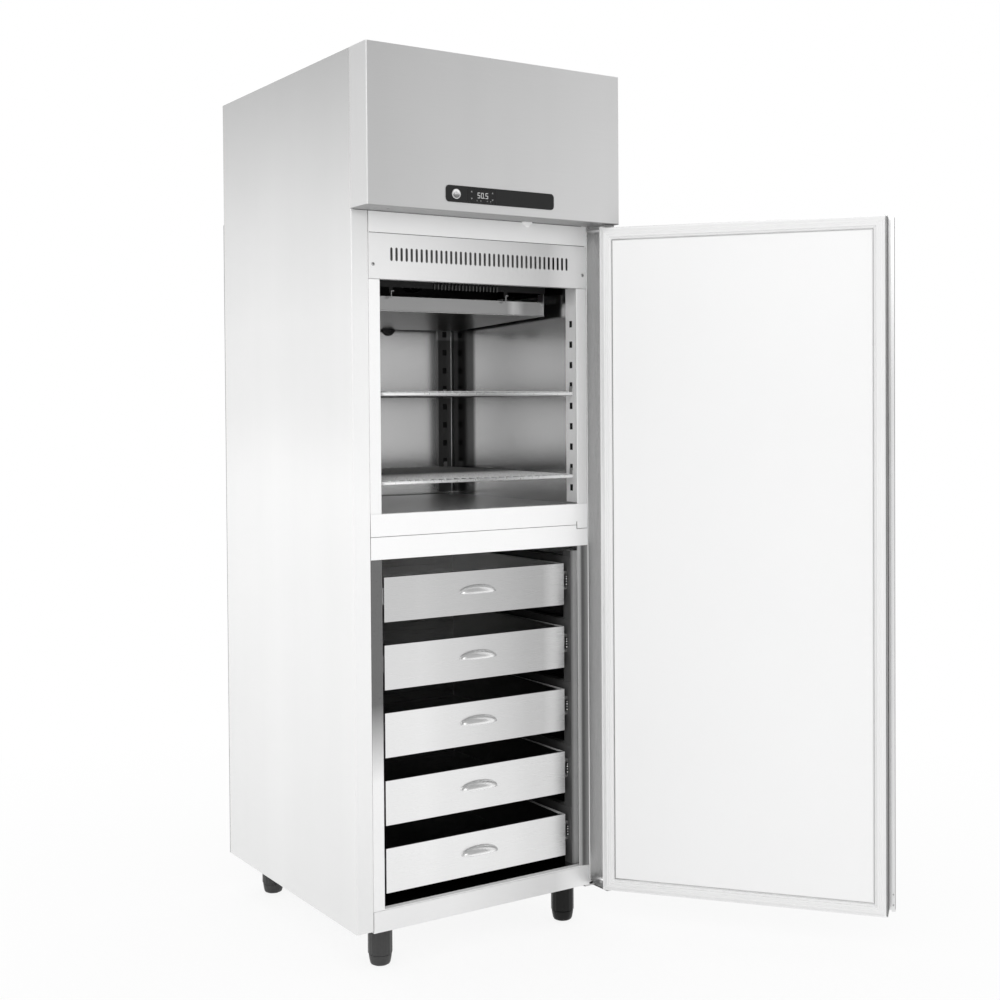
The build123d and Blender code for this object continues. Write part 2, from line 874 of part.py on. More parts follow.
def slide_channel(side, number, near, far, web, height, sheet):
    """One member of a slide: two lips from near to far joined by a web, out from the drawer."""
    middle = drawer_top(number) - slide_drop
    run = (drawer_front + slide_setback, drawer_back - slide_back_gap)
    lips = sorted((side * (drawer_half_width + near), side * (drawer_half_width + far)))
    plate = sorted((side * (drawer_half_width + web), side * (drawer_half_width + web + sheet)))
    block(plate, run, (middle - height / 2, middle + height / 2))
    block(lips, run, (middle - height / 2, middle - height / 2 + sheet))
    block(lips, run, (middle + height / 2 - sheet, middle + height / 2))


# Cup pull: a half oval from above and a quarter round from the side, hollow and open below
def arc_points(wide, deep, start, end):
    """Corners along part of an oval, which the turns count in parts of a half turn."""
    turns = [pi * step / handle_facets for step in range(start, end + 1)]
    return [(wide * cos(turn), -deep * sin(turn)) for turn in turns]


with BuildPart() as cup_pull:
    for inset, mode in ((0, Mode.ADD), (handle_wall, Mode.SUBTRACT)):
        wide = handle_half_width - inset
        deep = handle_reach - inset
        with BuildPart(mode=Mode.PRIVATE) as form:
            with BuildSketch(Plane.XY):
                Polygon(*arc_points(wide, deep, 0, handle_facets), align=None)
            extrude(amount=deep)
            with BuildSketch(Plane.YZ.offset(-wide)):
                quarter = arc_points(deep, deep, handle_facets // 2, handle_facets)
                Polygon((0, 0), *[(y, -x) for x, y in quarter], align=None)
            extrude(amount=2 * wide, mode=Mode.INTERSECT)
        add(form.part, mode=mode)

# Outer slide members, fixed to the racks
with BuildPart() as outer_slides:
    for side in (-1, 1):
        for number in range(drawer_count):
            slide_channel(
                side,
                number,
                slide_space - slide_outer_lip,
                slide_space,
                slide_space - slide_sheet,
                slide_height,
                slide_sheet,
            )
save(outer_slides, "outer_slides")

# Each drawer: an open tray with its inner slide members, two middle members and a cup pull
mid_height = slide_height - 2 * slide_sheet - 2 * slide_ball_gap
inner_height = mid_height - 2 * slide_mid_sheet - 2 * slide_ball_gap
for number in range(drawer_count):
    rim_z = drawer_top(number)
    with BuildPart() as drawer:
        outside = (drawer_front, drawer_back)
        inside = (drawer_front + drawer_sheet, drawer_back - drawer_sheet)
        mouth = (drawer_front + drawer_rim, drawer_back - drawer_rim)
        bottom = rim_z - drawer_height
        block(span(drawer_half_width), outside, (bottom, rim_z))
        block(
            span(drawer_half_width - drawer_sheet),
            inside,
            (bottom + drawer_sheet, rim_z - drawer_sheet),
            mode=Mode.SUBTRACT,
        )
        block(
            span(drawer_half_width - drawer_rim),
            mouth,
            (rim_z - drawer_sheet, rim_z),
            mode=Mode.SUBTRACT,
        )
        for side in (-1, 1):
            slide_channel(side, number, 0, slide_inner_lip, 0, inner_height, slide_sheet)
    save(drawer, f"drawer_{number + 1}")
    with BuildPart() as mid_slides:
        for side in (-1, 1):
            slide_channel(
                side,
                number,
                slide_mid_from,
                slide_mid_to,
                slide_mid_web,
                mid_height,
                slide_mid_sheet,
            )
    save(mid_slides, f"mid_slides_{number + 1}")
    with BuildPart() as handle:
        add(cup_pull.part.moved(Location((0, drawer_front, rim_z - handle_drop))))
    save(handle, f"handle_{number + 1}")

# Door, drawn shut and then swung open about its hinge pins
hinge_y = -hinge_from_frame
swung = (
    Location((hinge_x, hinge_y, 0))
    * Location((0, 0, 0), (0, 0, door_open_angle))
    * Location((-hinge_x, -hinge_y, 0))
)
grip_x = grip_depth - half_width


def door_outline(inset):
    """Corners of the door's section, from the hinge side round the front to the grip."""
    return [
        (half_width - inset, -door_gap),
        (half_width - inset, inset - fascia_depth),
        (inset - half_width, inset - fascia_depth),
        (inset - half_width, grip_lip - fascia_depth - inset),
        (grip_bead - half_width - inset, grip_lip - fascia_depth - inset),
        (grip_bead - half_width - inset, grip_lip - grip_groove - fascia_depth - inset),
        (grip_x + inset, grip_lip - grip_groove - fascia_depth - inset),
        (grip_x + inset, -door_gap),
    ]


# Outer skin of the door: one folded sheet with a full-height grip, and two end sheets
with BuildPart() as door_skin:
    with BuildSketch(Plane.XY.offset(door_bottom)):
        add(
            folded(
                *door_outline(0),
                sheet=door_sheet,
                radius=0,
                side=Side.RIGHT,
            )
        )
    extrude(amount=door_top - door_bottom)
    for z in (door_bottom, door_top - door_sheet):
        with BuildSketch(Plane.XY.offset(z)):
            Polygon(*door_outline(door_sheet / 2), align=None)
        extrude(amount=door_sheet)
    bush_seat = [(hinge_x, hinge_y, z) for z in (door_bottom, door_top)]
    prism(*bush_seat, bush_radius, round_sides, Mode.SUBTRACT)
    bead_face = grip_lip - fascia_depth
    for rise in (end_hole_rise, end_hole_rise + end_hole_pitch):
        hole = (grip_bead / 2 - half_width, bead_face, door_bottom + rise)
        prism(hole, (hole[0], bead_face - 2 * door_sheet, hole[2]), end_hole_radius, screw_sides, Mode.SUBTRACT)
save(door_skin, "door_skin", swung)

# Inner panel of the door, with a field raised inside the gasket
panel_x = (grip_x + door_sheet, half_width - door_sheet)
panel_z = (door_bottom + door_sheet, door_top - door_sheet)
field = gasket_inset + gasket_width + field_margin
with BuildPart() as door_liner:
    block(panel_x, (-door_gap - door_sheet, -door_gap), panel_z)
    block(
        (grip_x + field, half_width - field),
        (-door_gap, field_raise - door_gap),
        (door_bottom + field, door_top - field),
    )
    raised = door_liner.faces().sort_by(Axis.Y)[-1]
    chamfer(raised.edges(), field_raise - door_sheet)
    block(
        (grip_x + field + field_raise, half_width - field - field_raise),
        (-door_gap - door_sheet, field_raise - door_gap - door_sheet),
        (door_bottom + field + field_raise, door_top - field - field_raise),
        mode=Mode.SUBTRACT,
    )
save(door_liner, "door_liner", swung)

# Foam core that fills the door
with BuildPart() as door_foam:
    with BuildSketch(Plane.XY.offset(panel_z[0] + foam_gap)):
        Polygon(*door_outline(door_sheet + foam_gap), align=None)
    extrude(amount=panel_z[1] - panel_z[0] - 2 * foam_gap)
    block(
        span(half_width),
        (-door_gap - door_sheet - foam_gap, 0),
        (door_bottom, door_top),
        mode=Mode.SUBTRACT,
    )
    prism(*bush_seat, bush_radius + foam_gap, round_sides, Mode.SUBTRACT)
save(door_foam, "door_foam", swung)

# Gasket: a foot against the door and a softer bulb that meets the cabinet's frame
with BuildPart() as door_gasket:
    foot_y = (-door_gap, gasket_foot - door_gap)
    bulb_y = (foot_y[1], -gasket_clearance)
    step = (gasket_width - gasket_bulb) / 2
    for inset, width, depth in ((0, gasket_width, foot_y), (step, gasket_bulb, bulb_y)):
        for extra, mode in ((0, Mode.ADD), (width, Mode.SUBTRACT)):
            edge = gasket_inset + inset + extra
            block(
                (grip_x + edge, half_width - edge),
                depth,
                (door_bottom + edge, door_top - edge),
                mode=mode,
            )
    crown = door_gasket.faces().sort_by(Axis.Y)[-1]
    fillet(crown.edges(), gasket_round)
save(door_gasket, "door_gasket", swung)

# Hinge bushes, let into the door's two ends
with BuildPart() as hinge_bushes:
    for end, up in ((door_bottom, 1), (door_top, -1)):
        outer, face, inner = [
            (hinge_x, hinge_y, end + up * along) for along in (-bush_collar, 0, bush_length)
        ]
        prism(face, inner, bush_radius, round_sides)
        prism(outer, face, bush_collar_radius, round_sides)
        levels = sorted((outer[2], inner[2]))
        rod_z(hinge_x, hinge_y, levels, pin_radius + pin_fit, mode=Mode.SUBTRACT)
save(hinge_bushes, "hinge_bushes", swung)

# Hinge brackets: a plate and pin under the base, and a plate and pin under the fascia
bracket_x = (half_width - bracket_from_side - bracket_width, half_width - bracket_from_side)
with BuildPart() as hinge_brackets:
    low = (base_height - bracket_plate, base_height)
    block(bracket_x, (-bracket_reach, bracket_pad_depth), low)
    block((bracket_x[0] - bracket_pad_width, bracket_x[1]), (0, bracket_pad_depth), low)
    block(
        (bracket_x[0], half_width - skin - rear_return / 2),
        (skin, bracket_pad_depth),
        (base_height, side_bottom),
    )
    rod_z(hinge_x, hinge_y, (base_height, base_height + pin_length), pin_radius)
    high = (fascia_z - bracket_plate, fascia_z)
    block(bracket_x, (-bracket_reach, 0), high)
    block(bracket_x, (-bracket_leg_sheet, 0), (high[0], high[0] + bracket_leg))
    rod_z(hinge_x, hinge_y, (high[0] - pin_length, high[0]), pin_radius)
save(hinge_brackets, "hinge_brackets")

# Magnetic door switch under the fascia
with BuildPart() as door_switch:
    block(
        (switch_x - switch_width / 2, switch_x + switch_width / 2),
        (-switch_depth, 0),
        (fascia_z - switch_height, fascia_z),
    )
save(door_switch, "door_switch")

# Fascia: a folded cover in front of the machine bay, cut for the control bezel
bezel_z = fascia_z + bezel_rise
bezel_front = -fascia_depth - bezel_proud
with BuildPart() as fascia_panel:
    with BuildSketch(Plane.XY.offset(fascia_z)):
        add(
            folded(
                (-half_width, 0),
                (-half_width, -fascia_depth),
                (half_width, -fascia_depth),
                (half_width, 0),
                radius=fascia_bend,
            )
        )
    extrude(amount=fascia_height)
    shell = (skin - fascia_depth, 0)
    block(span(half_width - skin), shell, (fascia_z, fascia_z + skin))
    rim = (skin - fascia_depth, skin + top_return - fascia_depth)
    block(span(half_width - skin), rim, (cabinet_top - skin, cabinet_top))
    block(
        (bracket_x[0] - panel_gap, bracket_x[1] + panel_gap),
        (-bracket_leg_sheet - panel_gap, 0),
        (fascia_z, fascia_z + skin),
        mode=Mode.SUBTRACT,
    )
    for y in (fascia_hole_inset, fascia_hole_inset + fascia_hole_pitch):
        ends = [(fascia_hole_from_side - half_width, -y, z) for z in (fascia_z, fascia_z + skin)]
        prism(*ends, fascia_hole_radius, screw_sides, Mode.SUBTRACT)
    block(
        (
            bezel_x - bezel_width / 2 + bezel_lip - seat_gap,
            bezel_x + bezel_width / 2 - bezel_lip + seat_gap,
        ),
        (-fascia_depth, skin - fascia_depth),
        (
            bezel_z - bezel_height / 2 + bezel_lip - seat_gap,
            bezel_z + bezel_height / 2 - bezel_lip + seat_gap,
        ),
        mode=Mode.SUBTRACT,
    )
save(fascia_panel, "fascia_panel")

# Control bezel with a pocket for the display and a bore for the button
button_x = bezel_x + button_offset
display_x = bezel_x + display_offset
button_back = bezel_front - button_proud + button_length
with BuildPart() as control_bezel:
    with BuildSketch(Plane.XZ.offset(fascia_depth)):
        with Locations((bezel_x, bezel_z)):
            RectangleRounded(bezel_width, bezel_height, bezel_radius)
    extrude(amount=bezel_proud)
    block(
        (bezel_x - bezel_width / 2 + bezel_lip, bezel_x + bezel_width / 2 - bezel_lip),
        (-fascia_depth, bezel_body - fascia_depth),
        (bezel_z - bezel_height / 2 + bezel_lip, bezel_z + bezel_height / 2 - bezel_lip),
    )
    with BuildSketch(Plane.XZ.offset(-bezel_front)):
        with Locations((display_x, bezel_z)):
            Rectangle(display_width + 2 * seat_gap, display_height + 2 * seat_gap)
    extrude(amount=-display_depth, mode=Mode.SUBTRACT)
    ends = [(button_x, y, bezel_z) for y in (bezel_front, button_back + button_travel)]
    prism(*ends, button_radius + button_fit, ring_sides, Mode.SUBTRACT)
save(control_bezel, "control_bezel")

# Display window, flush in its pocket
with BuildPart() as display_window:
    with BuildSketch(Plane.XZ.offset(-bezel_front)):
        with Locations((display_x, bezel_z)):
            Rectangle(display_width, display_height)
    extrude(amount=-display_depth)
save(display_window, "display_window")

# Power button, turned with a chamfered face
with BuildPart() as power_button:
    ends = [(button_x, y, bezel_z) for y in (bezel_front - button_proud, button_back)]
    prism(*ends, button_radius, ring_sides)
    button_face = power_button.faces().sort_by(Axis.Y)[0]
    chamfer(button_face.edges(), button_proud / 2)
save(power_button, "power_button")

# Levelling feet: a fixed sleeve over each and a screwed foot that winds down out of it
feet = {
    "foot_front_left": (-foot_x, foot_front),
    "foot_front_right": (foot_x, foot_front),
    "foot_rear_left": (-foot_x, cabinet_depth - foot_back),
    "foot_rear_right": (foot_x, cabinet_depth - foot_back),
}
sleeve_z = base_height - sleeve_length
with BuildPart() as foot_sleeves:
    for x, y in feet.values():
        prism((x, y, sleeve_z), (x, y, base_height), sleeve_radius, round_sides)
        bore = foot_stem_radius + foot_fit
        prism((x, y, sleeve_z), (x, y, base_height), bore, round_sides, mode=Mode.SUBTRACT)
save(foot_sleeves, "foot_sleeves")

for name, (x, y) in feet.items():
    with BuildPart() as foot:
        prism((x, y, 0), (x, y, sleeve_z), foot_shoulder_radius, round_sides)
        sole = foot.faces().sort_by(Axis.Z)[0]
        inward = (foot_shoulder_radius - foot_pad_radius) * cos(pi / round_sides)
        chamfer(sole.edges(), inward, sleeve_z - foot_band, reference=sole)
        stem_top = sleeve_z + foot_stem_length
        prism((x, y, sleeve_z), (x, y, stem_top), foot_stem_radius, round_sides)
    save(foot, name)

# Condenser: a finned block on two end plates
condenser_span = (condenser_x - condenser_width / 2, condenser_x + condenser_width / 2)
condenser_back = condenser_front + condenser_depth
condenser_levels = (deck_z + condenser_lift, deck_z + condenser_lift + condenser_height)
condenser_fins = int(condenser_width / condenser_fin_pitch) - 1
with BuildPart() as condenser:
    block(condenser_span, (condenser_front, condenser_back), condenser_levels)
    with BuildSketch(Plane.XZ.offset(-condenser_front)):
        with Locations((condenser_x, (condenser_levels[0] + condenser_levels[1]) / 2)):
            with GridLocations(condenser_fin_pitch, condenser_height, condenser_fins, 1):
                Rectangle(condenser_groove, condenser_height)
    extrude(amount=-condenser_cut, mode=Mode.SUBTRACT)
    for x in (condenser_span[0], condenser_span[1] - shroud_sheet):
        block(
            (x, x + shroud_sheet),
            (condenser_front, condenser_back),
            (deck_z, condenser_levels[0]),
        )
save(condenser, "condenser")

# Condenser shroud: a sheet with the fan's ring, a foot on the deck and the motor on its arms
ring_radius = cooling_fan_radius + cooling_fan_gap
shroud_back = condenser_back + shroud_sheet
cooling_z = (condenser_levels[0] + condenser_levels[1]) / 2
cooling_motor = (condenser_x, shroud_back + cooling_hub_length, cooling_z)
with BuildPart() as condenser_shroud:
    shroud_span = (condenser_span[0] - shroud_margin, condenser_span[1] + shroud_margin)
    block(
        shroud_span,
        (condenser_back, shroud_back),
        (deck_z, condenser_levels[1] + shroud_margin),
    )
    with BuildSketch(Plane.XZ.offset(-shroud_back)):
        with Locations((condenser_x, cooling_z)):
            RegularPolygon(ring_radius, ring_sides, major_radius=False)
    extrude(amount=shroud_sheet, mode=Mode.SUBTRACT)
    block(shroud_span, (condenser_back, shroud_back + shroud_foot), (deck_z, deck_z + shroud_sheet))
    motor(
        cooling_motor,
        ring_radius,
        cooling_hub_length,
        cooling_motor_radius,
        cooling_motor_length,
        cooling_shaft_radius,
        cooling_hub_length,
    )
save(condenser_shroud, "condenser_shroud")

with BuildPart() as cooling_fan:
    impeller(
        cooling_motor,
        cooling_fan_radius,
        cooling_hub_radius,
        cooling_hub_length,
        cooling_shaft_radius,
        cooling_blades,
        cooling_chord,
    )
save(cooling_fan, "cooling_fan")

# Compressor: a domed pot on a base plate with four rubber feet and two ports
pot_z = deck_z + compressor_foot_height + compressor_base_sheet
port_z = pot_z + compressor_height - port_drop
suction_x = compressor_x - compressor_radius - port_length
discharge_y = compressor_y - compressor_radius - port_length
with BuildPart() as compressor:
    middle = (compressor_x, compressor_y, pot_z)
    top = (compressor_x, compressor_y, pot_z + compressor_height)
    prism(middle, top, compressor_radius, compressor_sides)
    chamfer(compressor.faces().sort_by(Axis.Z)[-1].edges(), compressor_dome)
    block(
        (compressor_x - compressor_base_width / 2, compressor_x + compressor_base_width / 2),
        (compressor_y - compressor_base_depth / 2, compressor_y + compressor_base_depth / 2),
        (pot_z - compressor_base_sheet, pot_z),
    )
    spread_x = compressor_base_width / 2 - compressor_foot_radius
    spread_y = compressor_base_depth / 2 - compressor_foot_radius
    for side in (-1, 1):
        for end in (-1, 1):
            x = compressor_x + side * spread_x
            y = compressor_y + end * spread_y
            levels = (deck_z, pot_z - compressor_base_sheet)
            prism((x, y, levels[0]), (x, y, levels[1]), compressor_foot_radius, pipe_sides)
    middle = (compressor_x, compressor_y, port_z)
    prism((suction_x, compressor_y, port_z), middle, port_radius, pipe_sides)
    prism((compressor_x, discharge_y, port_z), middle, port_radius, pipe_sides)
save(compressor, "compressor")

# Electrical box with two cable glands
with BuildPart() as electrical_box:
    block(
        (box_x - box_width / 2, box_x + box_width / 2),
        (box_front, box_front + box_depth),
        (deck_z, deck_z + box_height),
    )
    fillet(electrical_box.edges().filter_by(Axis.Z), box_round)
    for side in (-1, 1):
        x = box_x + side * box_width / 4
        face = box_front + box_depth
        ends = [(x, y, deck_z + box_height / 2) for y in (face, face + gland_length)]
        prism(*ends, gland_radius, pipe_sides)
save(electrical_box, "electrical_box")

# Refrigerant pipes: discharge to the condenser, liquid line with its drier, and suction return
entry_a, entry_b = pipe_entries
coil_back = coil_span[1]
condenser_middle = condenser_front + condenser_depth / 2
liquid_z = condenser_levels[0] + pipe_low
drop_x = condenser_span[1] + pipe_gap_x
pipe_run_x = condenser_span[1] + pipe_run_gap
turn_y = discharge_y - drier_length
routes = [
    [
        (compressor_x, discharge_y, port_z),
        (compressor_x, turn_y, port_z),
        (drop_x, turn_y, port_z),
        (drop_x, condenser_middle, port_z),
        (condenser_span[1], condenser_middle, port_z),
    ],
    [
        (condenser_span[1], condenser_middle, liquid_z),
        (pipe_run_x, condenser_middle, liquid_z),
        (pipe_run_x, entry_b[1], liquid_z),
        (entry_b[0], entry_b[1], liquid_z),
        (entry_b[0], entry_b[1], coil_top - coil_port_low),
        (entry_b[0], coil_back, coil_top - coil_port_low),
    ],
    [
        (suction_x, compressor_y, port_z),
        (entry_a[0], compressor_y, port_z),
        (entry_a[0], entry_a[1], port_z),
        (entry_a[0], entry_a[1], coil_top - coil_port_high),
        (entry_a[0], coil_back, coil_top - coil_port_high),
    ],
]


def eased(points, ease):
    """The points with each corner cut off at the same distance on both sides."""
    corners = [Vector(*point) for point in points]
    route = [corners[0]]
    for before, corner, after in zip(corners, corners[1:], corners[2:]):
        route += [corner + (side - corner).normalized() * ease for side in (before, after)]
    return route + [corners[-1]]


with BuildPart() as refrigerant_pipes:
    for points in routes:
        with BuildLine() as route:
            Polyline(*eased(points, pipe_bend))
        start = Vector(*points[0])
        heading = Vector(*points[1]) - start
        with BuildSketch(Plane(origin=start, z_dir=heading)):
            RegularPolygon(pipe_radius, pipe_sides)
        sweep(path=route.wires()[0], transition=Transition.RIGHT)
    drier_front = condenser_middle + drier_length
    drier_back = drier_front + drier_length
    drier = [(pipe_run_x, y, liquid_z) for y in (drier_front, drier_back)]
    prism(*drier, drier_radius, 2 * pipe_sides)
save(refrigerant_pipes, "refrigerant_pipes")

# Screws: two in the grille, and two that hold the condenser shroud down
with BuildPart() as screws:
    for side in (-1, 1):
        x = side * (base_half - grille_screw_inset)
        z = head_z - grille_screw_drop
        front = trim_face[0]
        prism((x, front - screw_head, z), (x, front, z), screw_radius, screw_sides)
        x = condenser_x + side * (condenser_width / 2 - shroud_margin)
        y = shroud_back + shroud_foot / 2
        base = deck_z + shroud_sheet
        prism((x, y, base), (x, y, base + screw_head), screw_radius, screw_sides)
save(screws, "screws")
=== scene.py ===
import json
import math

import bmesh
import bpy
from mathutils import Matrix, Vector


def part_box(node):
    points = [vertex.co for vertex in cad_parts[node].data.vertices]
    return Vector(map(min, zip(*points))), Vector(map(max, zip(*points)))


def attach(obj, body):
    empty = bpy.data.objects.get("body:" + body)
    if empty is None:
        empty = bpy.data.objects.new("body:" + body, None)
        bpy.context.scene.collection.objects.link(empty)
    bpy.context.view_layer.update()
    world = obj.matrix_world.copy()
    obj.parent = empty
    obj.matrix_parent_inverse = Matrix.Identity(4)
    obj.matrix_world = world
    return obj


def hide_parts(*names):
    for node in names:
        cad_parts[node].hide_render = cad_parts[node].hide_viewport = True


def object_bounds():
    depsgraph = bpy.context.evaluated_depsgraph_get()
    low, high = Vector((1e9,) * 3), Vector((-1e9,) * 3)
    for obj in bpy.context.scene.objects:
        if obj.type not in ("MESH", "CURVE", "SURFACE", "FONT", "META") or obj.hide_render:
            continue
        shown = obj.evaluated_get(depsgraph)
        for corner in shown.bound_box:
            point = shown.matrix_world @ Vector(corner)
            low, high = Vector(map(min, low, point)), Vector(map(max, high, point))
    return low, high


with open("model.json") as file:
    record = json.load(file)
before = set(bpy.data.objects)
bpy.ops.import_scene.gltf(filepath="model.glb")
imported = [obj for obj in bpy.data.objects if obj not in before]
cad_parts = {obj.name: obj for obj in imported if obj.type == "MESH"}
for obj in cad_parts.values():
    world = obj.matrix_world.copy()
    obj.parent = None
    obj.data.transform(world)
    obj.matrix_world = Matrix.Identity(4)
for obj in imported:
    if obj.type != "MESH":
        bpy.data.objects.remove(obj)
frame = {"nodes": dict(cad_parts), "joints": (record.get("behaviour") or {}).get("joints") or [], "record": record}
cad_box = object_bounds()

# The camera, solved from the photograph's straight edges. Its place is in metres, and its
# lens and sensor are in millimetres.
CAMERA_AT = (-1.8363, -2.9095, 1.2990)
CAMERA_YAW = math.radians(33.234)
CAMERA_PITCH = math.radians(1.13)
CAMERA_ROLL = math.radians(-0.387)
CAMERA_LENS = 51.865
CAMERA_SENSOR = 36.0
CAMERA_SHIFT = (-0.00835, -0.06491)
CAMERA_REACH = 200.0

MM = 0.001
WHITE = (1.0, 1.0, 1.0, 1.0)


def corners(node):
    """A CAD node's lowest and highest corners, in millimetres to the hundredth."""
    return [[round(value / MM, 2) for value in corner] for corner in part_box(node)]


def middle(node):
    """The middle of a CAD node's box, in millimetres."""
    return [(low + high) / 2 for low, high in zip(*corners(node))]


# The drawers from the top down, and places that several pieces share, in millimetres
DRAWERS = range(1, 6)
DRAWER_FRONT = corners("drawer_1")[0][1]
DRAWER_TOPS = [corners(f"drawer_{number}")[1][2] for number in DRAWERS]
FASCIA_LOW = corners("fascia_panel")[0][2]
HEADER_LOW = corners("machine_deck")[0][2]
GRILLE_FRONT = corners("grille_panel")[0][1]

# The door's hinge, and the door's outline and inner face when it is closed
door_hinge = next(joint for joint in frame["joints"] if joint["name"] == "door_hinge")
HINGE_X, HINGE_Y = [round(value / MM, 2) for value in door_hinge["pos_m"][:2]]
DOOR_OPEN = math.radians(-door_hinge["range_deg"][0])
DOOR_X = (-336.0, 350.0)
DOOR_Z = [corner[2] for corner in corners("door_skin")]
DOOR_INNER = -10.0


def linear(level):
    """A grey or a colour, written as 0 to 255 display values, as linear light."""
    channels = level if isinstance(level, tuple) else (level,) * 3
    shares = [channel / 255 for channel in channels]
    light = [
        share / 12.92 if share <= 0.04045 else ((share + 0.055) / 1.055) ** 2.4
        for share in shares
    ]
    return (*light, 1.0)


class Tree:
    """A node tree, with short calls that add nodes and join them."""

    def __init__(self, tree):
        self.tree = tree

    def add(self, kind, **values):
        """A new node. Each value goes to the property or the input of its name."""
        node = self.tree.nodes.new(kind)
        for key, value in values.items():
            if hasattr(node, key):
                setattr(node, key, value)
            else:
                node.inputs[key.replace("_", " ")].default_value = value
        return node

    def link(self, a, b):
        self.tree.links.new(a, b)

    def remap(self, value, low, high, start=0.3, end=0.7):
        """A value that runs from start to end, as one that runs from low to high."""
        node = self.add("ShaderNodeMapRange")
        self.link(value, node.inputs["Value"])
        for key, number in (
            ("From Min", start), ("From Max", end), ("To Min", low), ("To Max", high),
        ):
            node.inputs[key].default_value = number
        return node.outputs["Result"]

    def calculate(self, operation, first, second):
        node = self.add("ShaderNodeMath", operation=operation)
        self.link(first, node.inputs[0])
        self.link(second, node.inputs[1])
        return node.outputs[0]

    def mix_shaders(self, factor, first, second):
        node = self.add("ShaderNodeMixShader")
        self.link(factor, node.inputs["Fac"])
        self.link(first, node.inputs[1])
        self.link(second, node.inputs[2])
        return node.outputs[0]


class Surface(Tree):
    """A material's tree. Its place is in the CAD's own coordinates, in metres."""

    def __init__(self, name):
        self.material = bpy.data.materials.new(name)
        self.material.use_nodes = True
        super().__init__(self.material.node_tree)
        self.shader = self.tree.nodes["Principled BSDF"]
        self.place = self.add("ShaderNodeTexCoord").outputs["Object"]
        self.axes = self.add("ShaderNodeSeparateXYZ")
        self.link(self.place, self.axes.inputs[0])

    def noise(self, scale, detail, stretch=(1, 1, 1)):
        spread = self.add("ShaderNodeMapping")
        spread.inputs["Scale"].default_value = stretch
        self.link(self.place, spread.inputs["Vector"])
        node = self.add("ShaderNodeTexNoise", Scale=scale, Detail=detail)
        self.link(spread.outputs["Vector"], node.inputs["Vector"])
        return node.outputs["Fac"]

    def blend(self, factor, first, second, mode="MIX"):
        """A mix of two colours. Each is a colour or a socket, as the factor may be."""
        node = self.add("ShaderNodeMix", data_type="RGBA", blend_type=mode)
        for socket, value in (
            (node.inputs["Factor"], factor), (node.inputs[6], first), (node.inputs[7], second),
        ):
            if isinstance(value, (float, tuple)):
                socket.default_value = value
            else:
                self.link(value, socket)
        return node.outputs[2]

    def darken(self, colour, factor, amount):
        """The colour, darker by a share of it where the factor is 1."""
        grey = self.blend(factor, WHITE, (1 - amount, 1 - amount, 1 - amount, 1.0))
        return self.blend(1.0, colour, grey, "MULTIPLY")

    def bump(self, value, strength, distance):
        node = self.add("ShaderNodeBump", Strength=strength, Distance=distance)
        self.link(value, node.inputs["Height"])
        self.link(node.outputs["Normal"], self.shader.inputs["Normal"])


# The noise that draws upright bands of painted reflection, the grain's share of the tone,
# and its depth in metres
BAND_SCALE = 5.0
BAND_STRETCH = (1.0, 1.0, 0.03)
BAND_START, BAND_END = 0.35, 0.65
GRAIN_SHARE = 0.6
GRAIN_DEPTH = 0.0004


def finish(
    name,
    colour,
    roughness,
    spread,
    tone,
    grain,
    metallic=0.0,
    stretch=(1, 1, 1),
    bump=0.02,
    cloud=3.0,
    steps=(),
    streak=0.0,
    **sockets,
):
    """A surface with a fine grain and a slow cloud of tone, which darken it by up to tone.
    Grain and cloud are the scales of their noises, and stretch draws the grain out. Roughness
    varies by the spread, and streak is how dark the upright bands of painted reflection are.
    Each step paints light and shade: it blends to another level between two places along an
    axis, in metres: (axis, start, end, level)."""
    surface = Surface(name)
    shader = surface.shader
    shader.inputs["Metallic"].default_value = metallic
    for key, value in sockets.items():
        shader.inputs[key.replace("_", " ")].default_value = value
    fine = surface.noise(grain, 4.0, stretch)
    slow = surface.noise(cloud, 2.0)
    base = colour
    for axis, start, end, level in steps:
        along = surface.axes.outputs[axis]
        base = surface.blend(surface.remap(along, 0, 1, start, end), base, linear(level))
    # Upright bands of painted reflection, as dark as streak says
    if streak:
        reflection_bands = surface.noise(BAND_SCALE, 2.0, BAND_STRETCH)
        base = surface.darken(base, surface.remap(reflection_bands, 0, 1, BAND_START, BAND_END), streak)
    base = surface.darken(base, surface.remap(slow, 1, 0), tone)
    base = surface.darken(base, surface.remap(fine, 0, 1), GRAIN_SHARE * tone)
    surface.link(base, shader.inputs["Base Color"])
    rough = surface.remap(fine, roughness - spread, roughness + spread)
    surface.link(rough, shader.inputs["Roughness"])
    surface.bump(fine, bump, GRAIN_DEPTH)
    return surface.material


def brushed(name, level, roughness, along, **more):
    """Metal with a grain drawn out along one axis."""
    stretch = tuple(0.010 if axis == along else 1.0 for axis in "XYZ")
    usual = {"metallic": 1.0, "tone": 0.025, "grain": 900.0, "bump": 0.015, "spread": 0.02}
    return finish(name, linear(level), roughness, stretch=stretch, **(usual | more))


def plastic(name, level, roughness, **more):
    """A moulded or painted surface."""
    usual = {"tone": 0.02, "grain": 400.0, "spread": 0.04}
    return finish(name, linear(level), roughness, **(usual | more))


def metal(name, level, roughness, **more):
    """Bare or plated metal without a drawn grain."""
    usual = {"metallic": 1.0, "tone": 0.05, "grain": 240.0, "spread": 0.04}
    return finish(name, linear(level), roughness, **(usual | more))
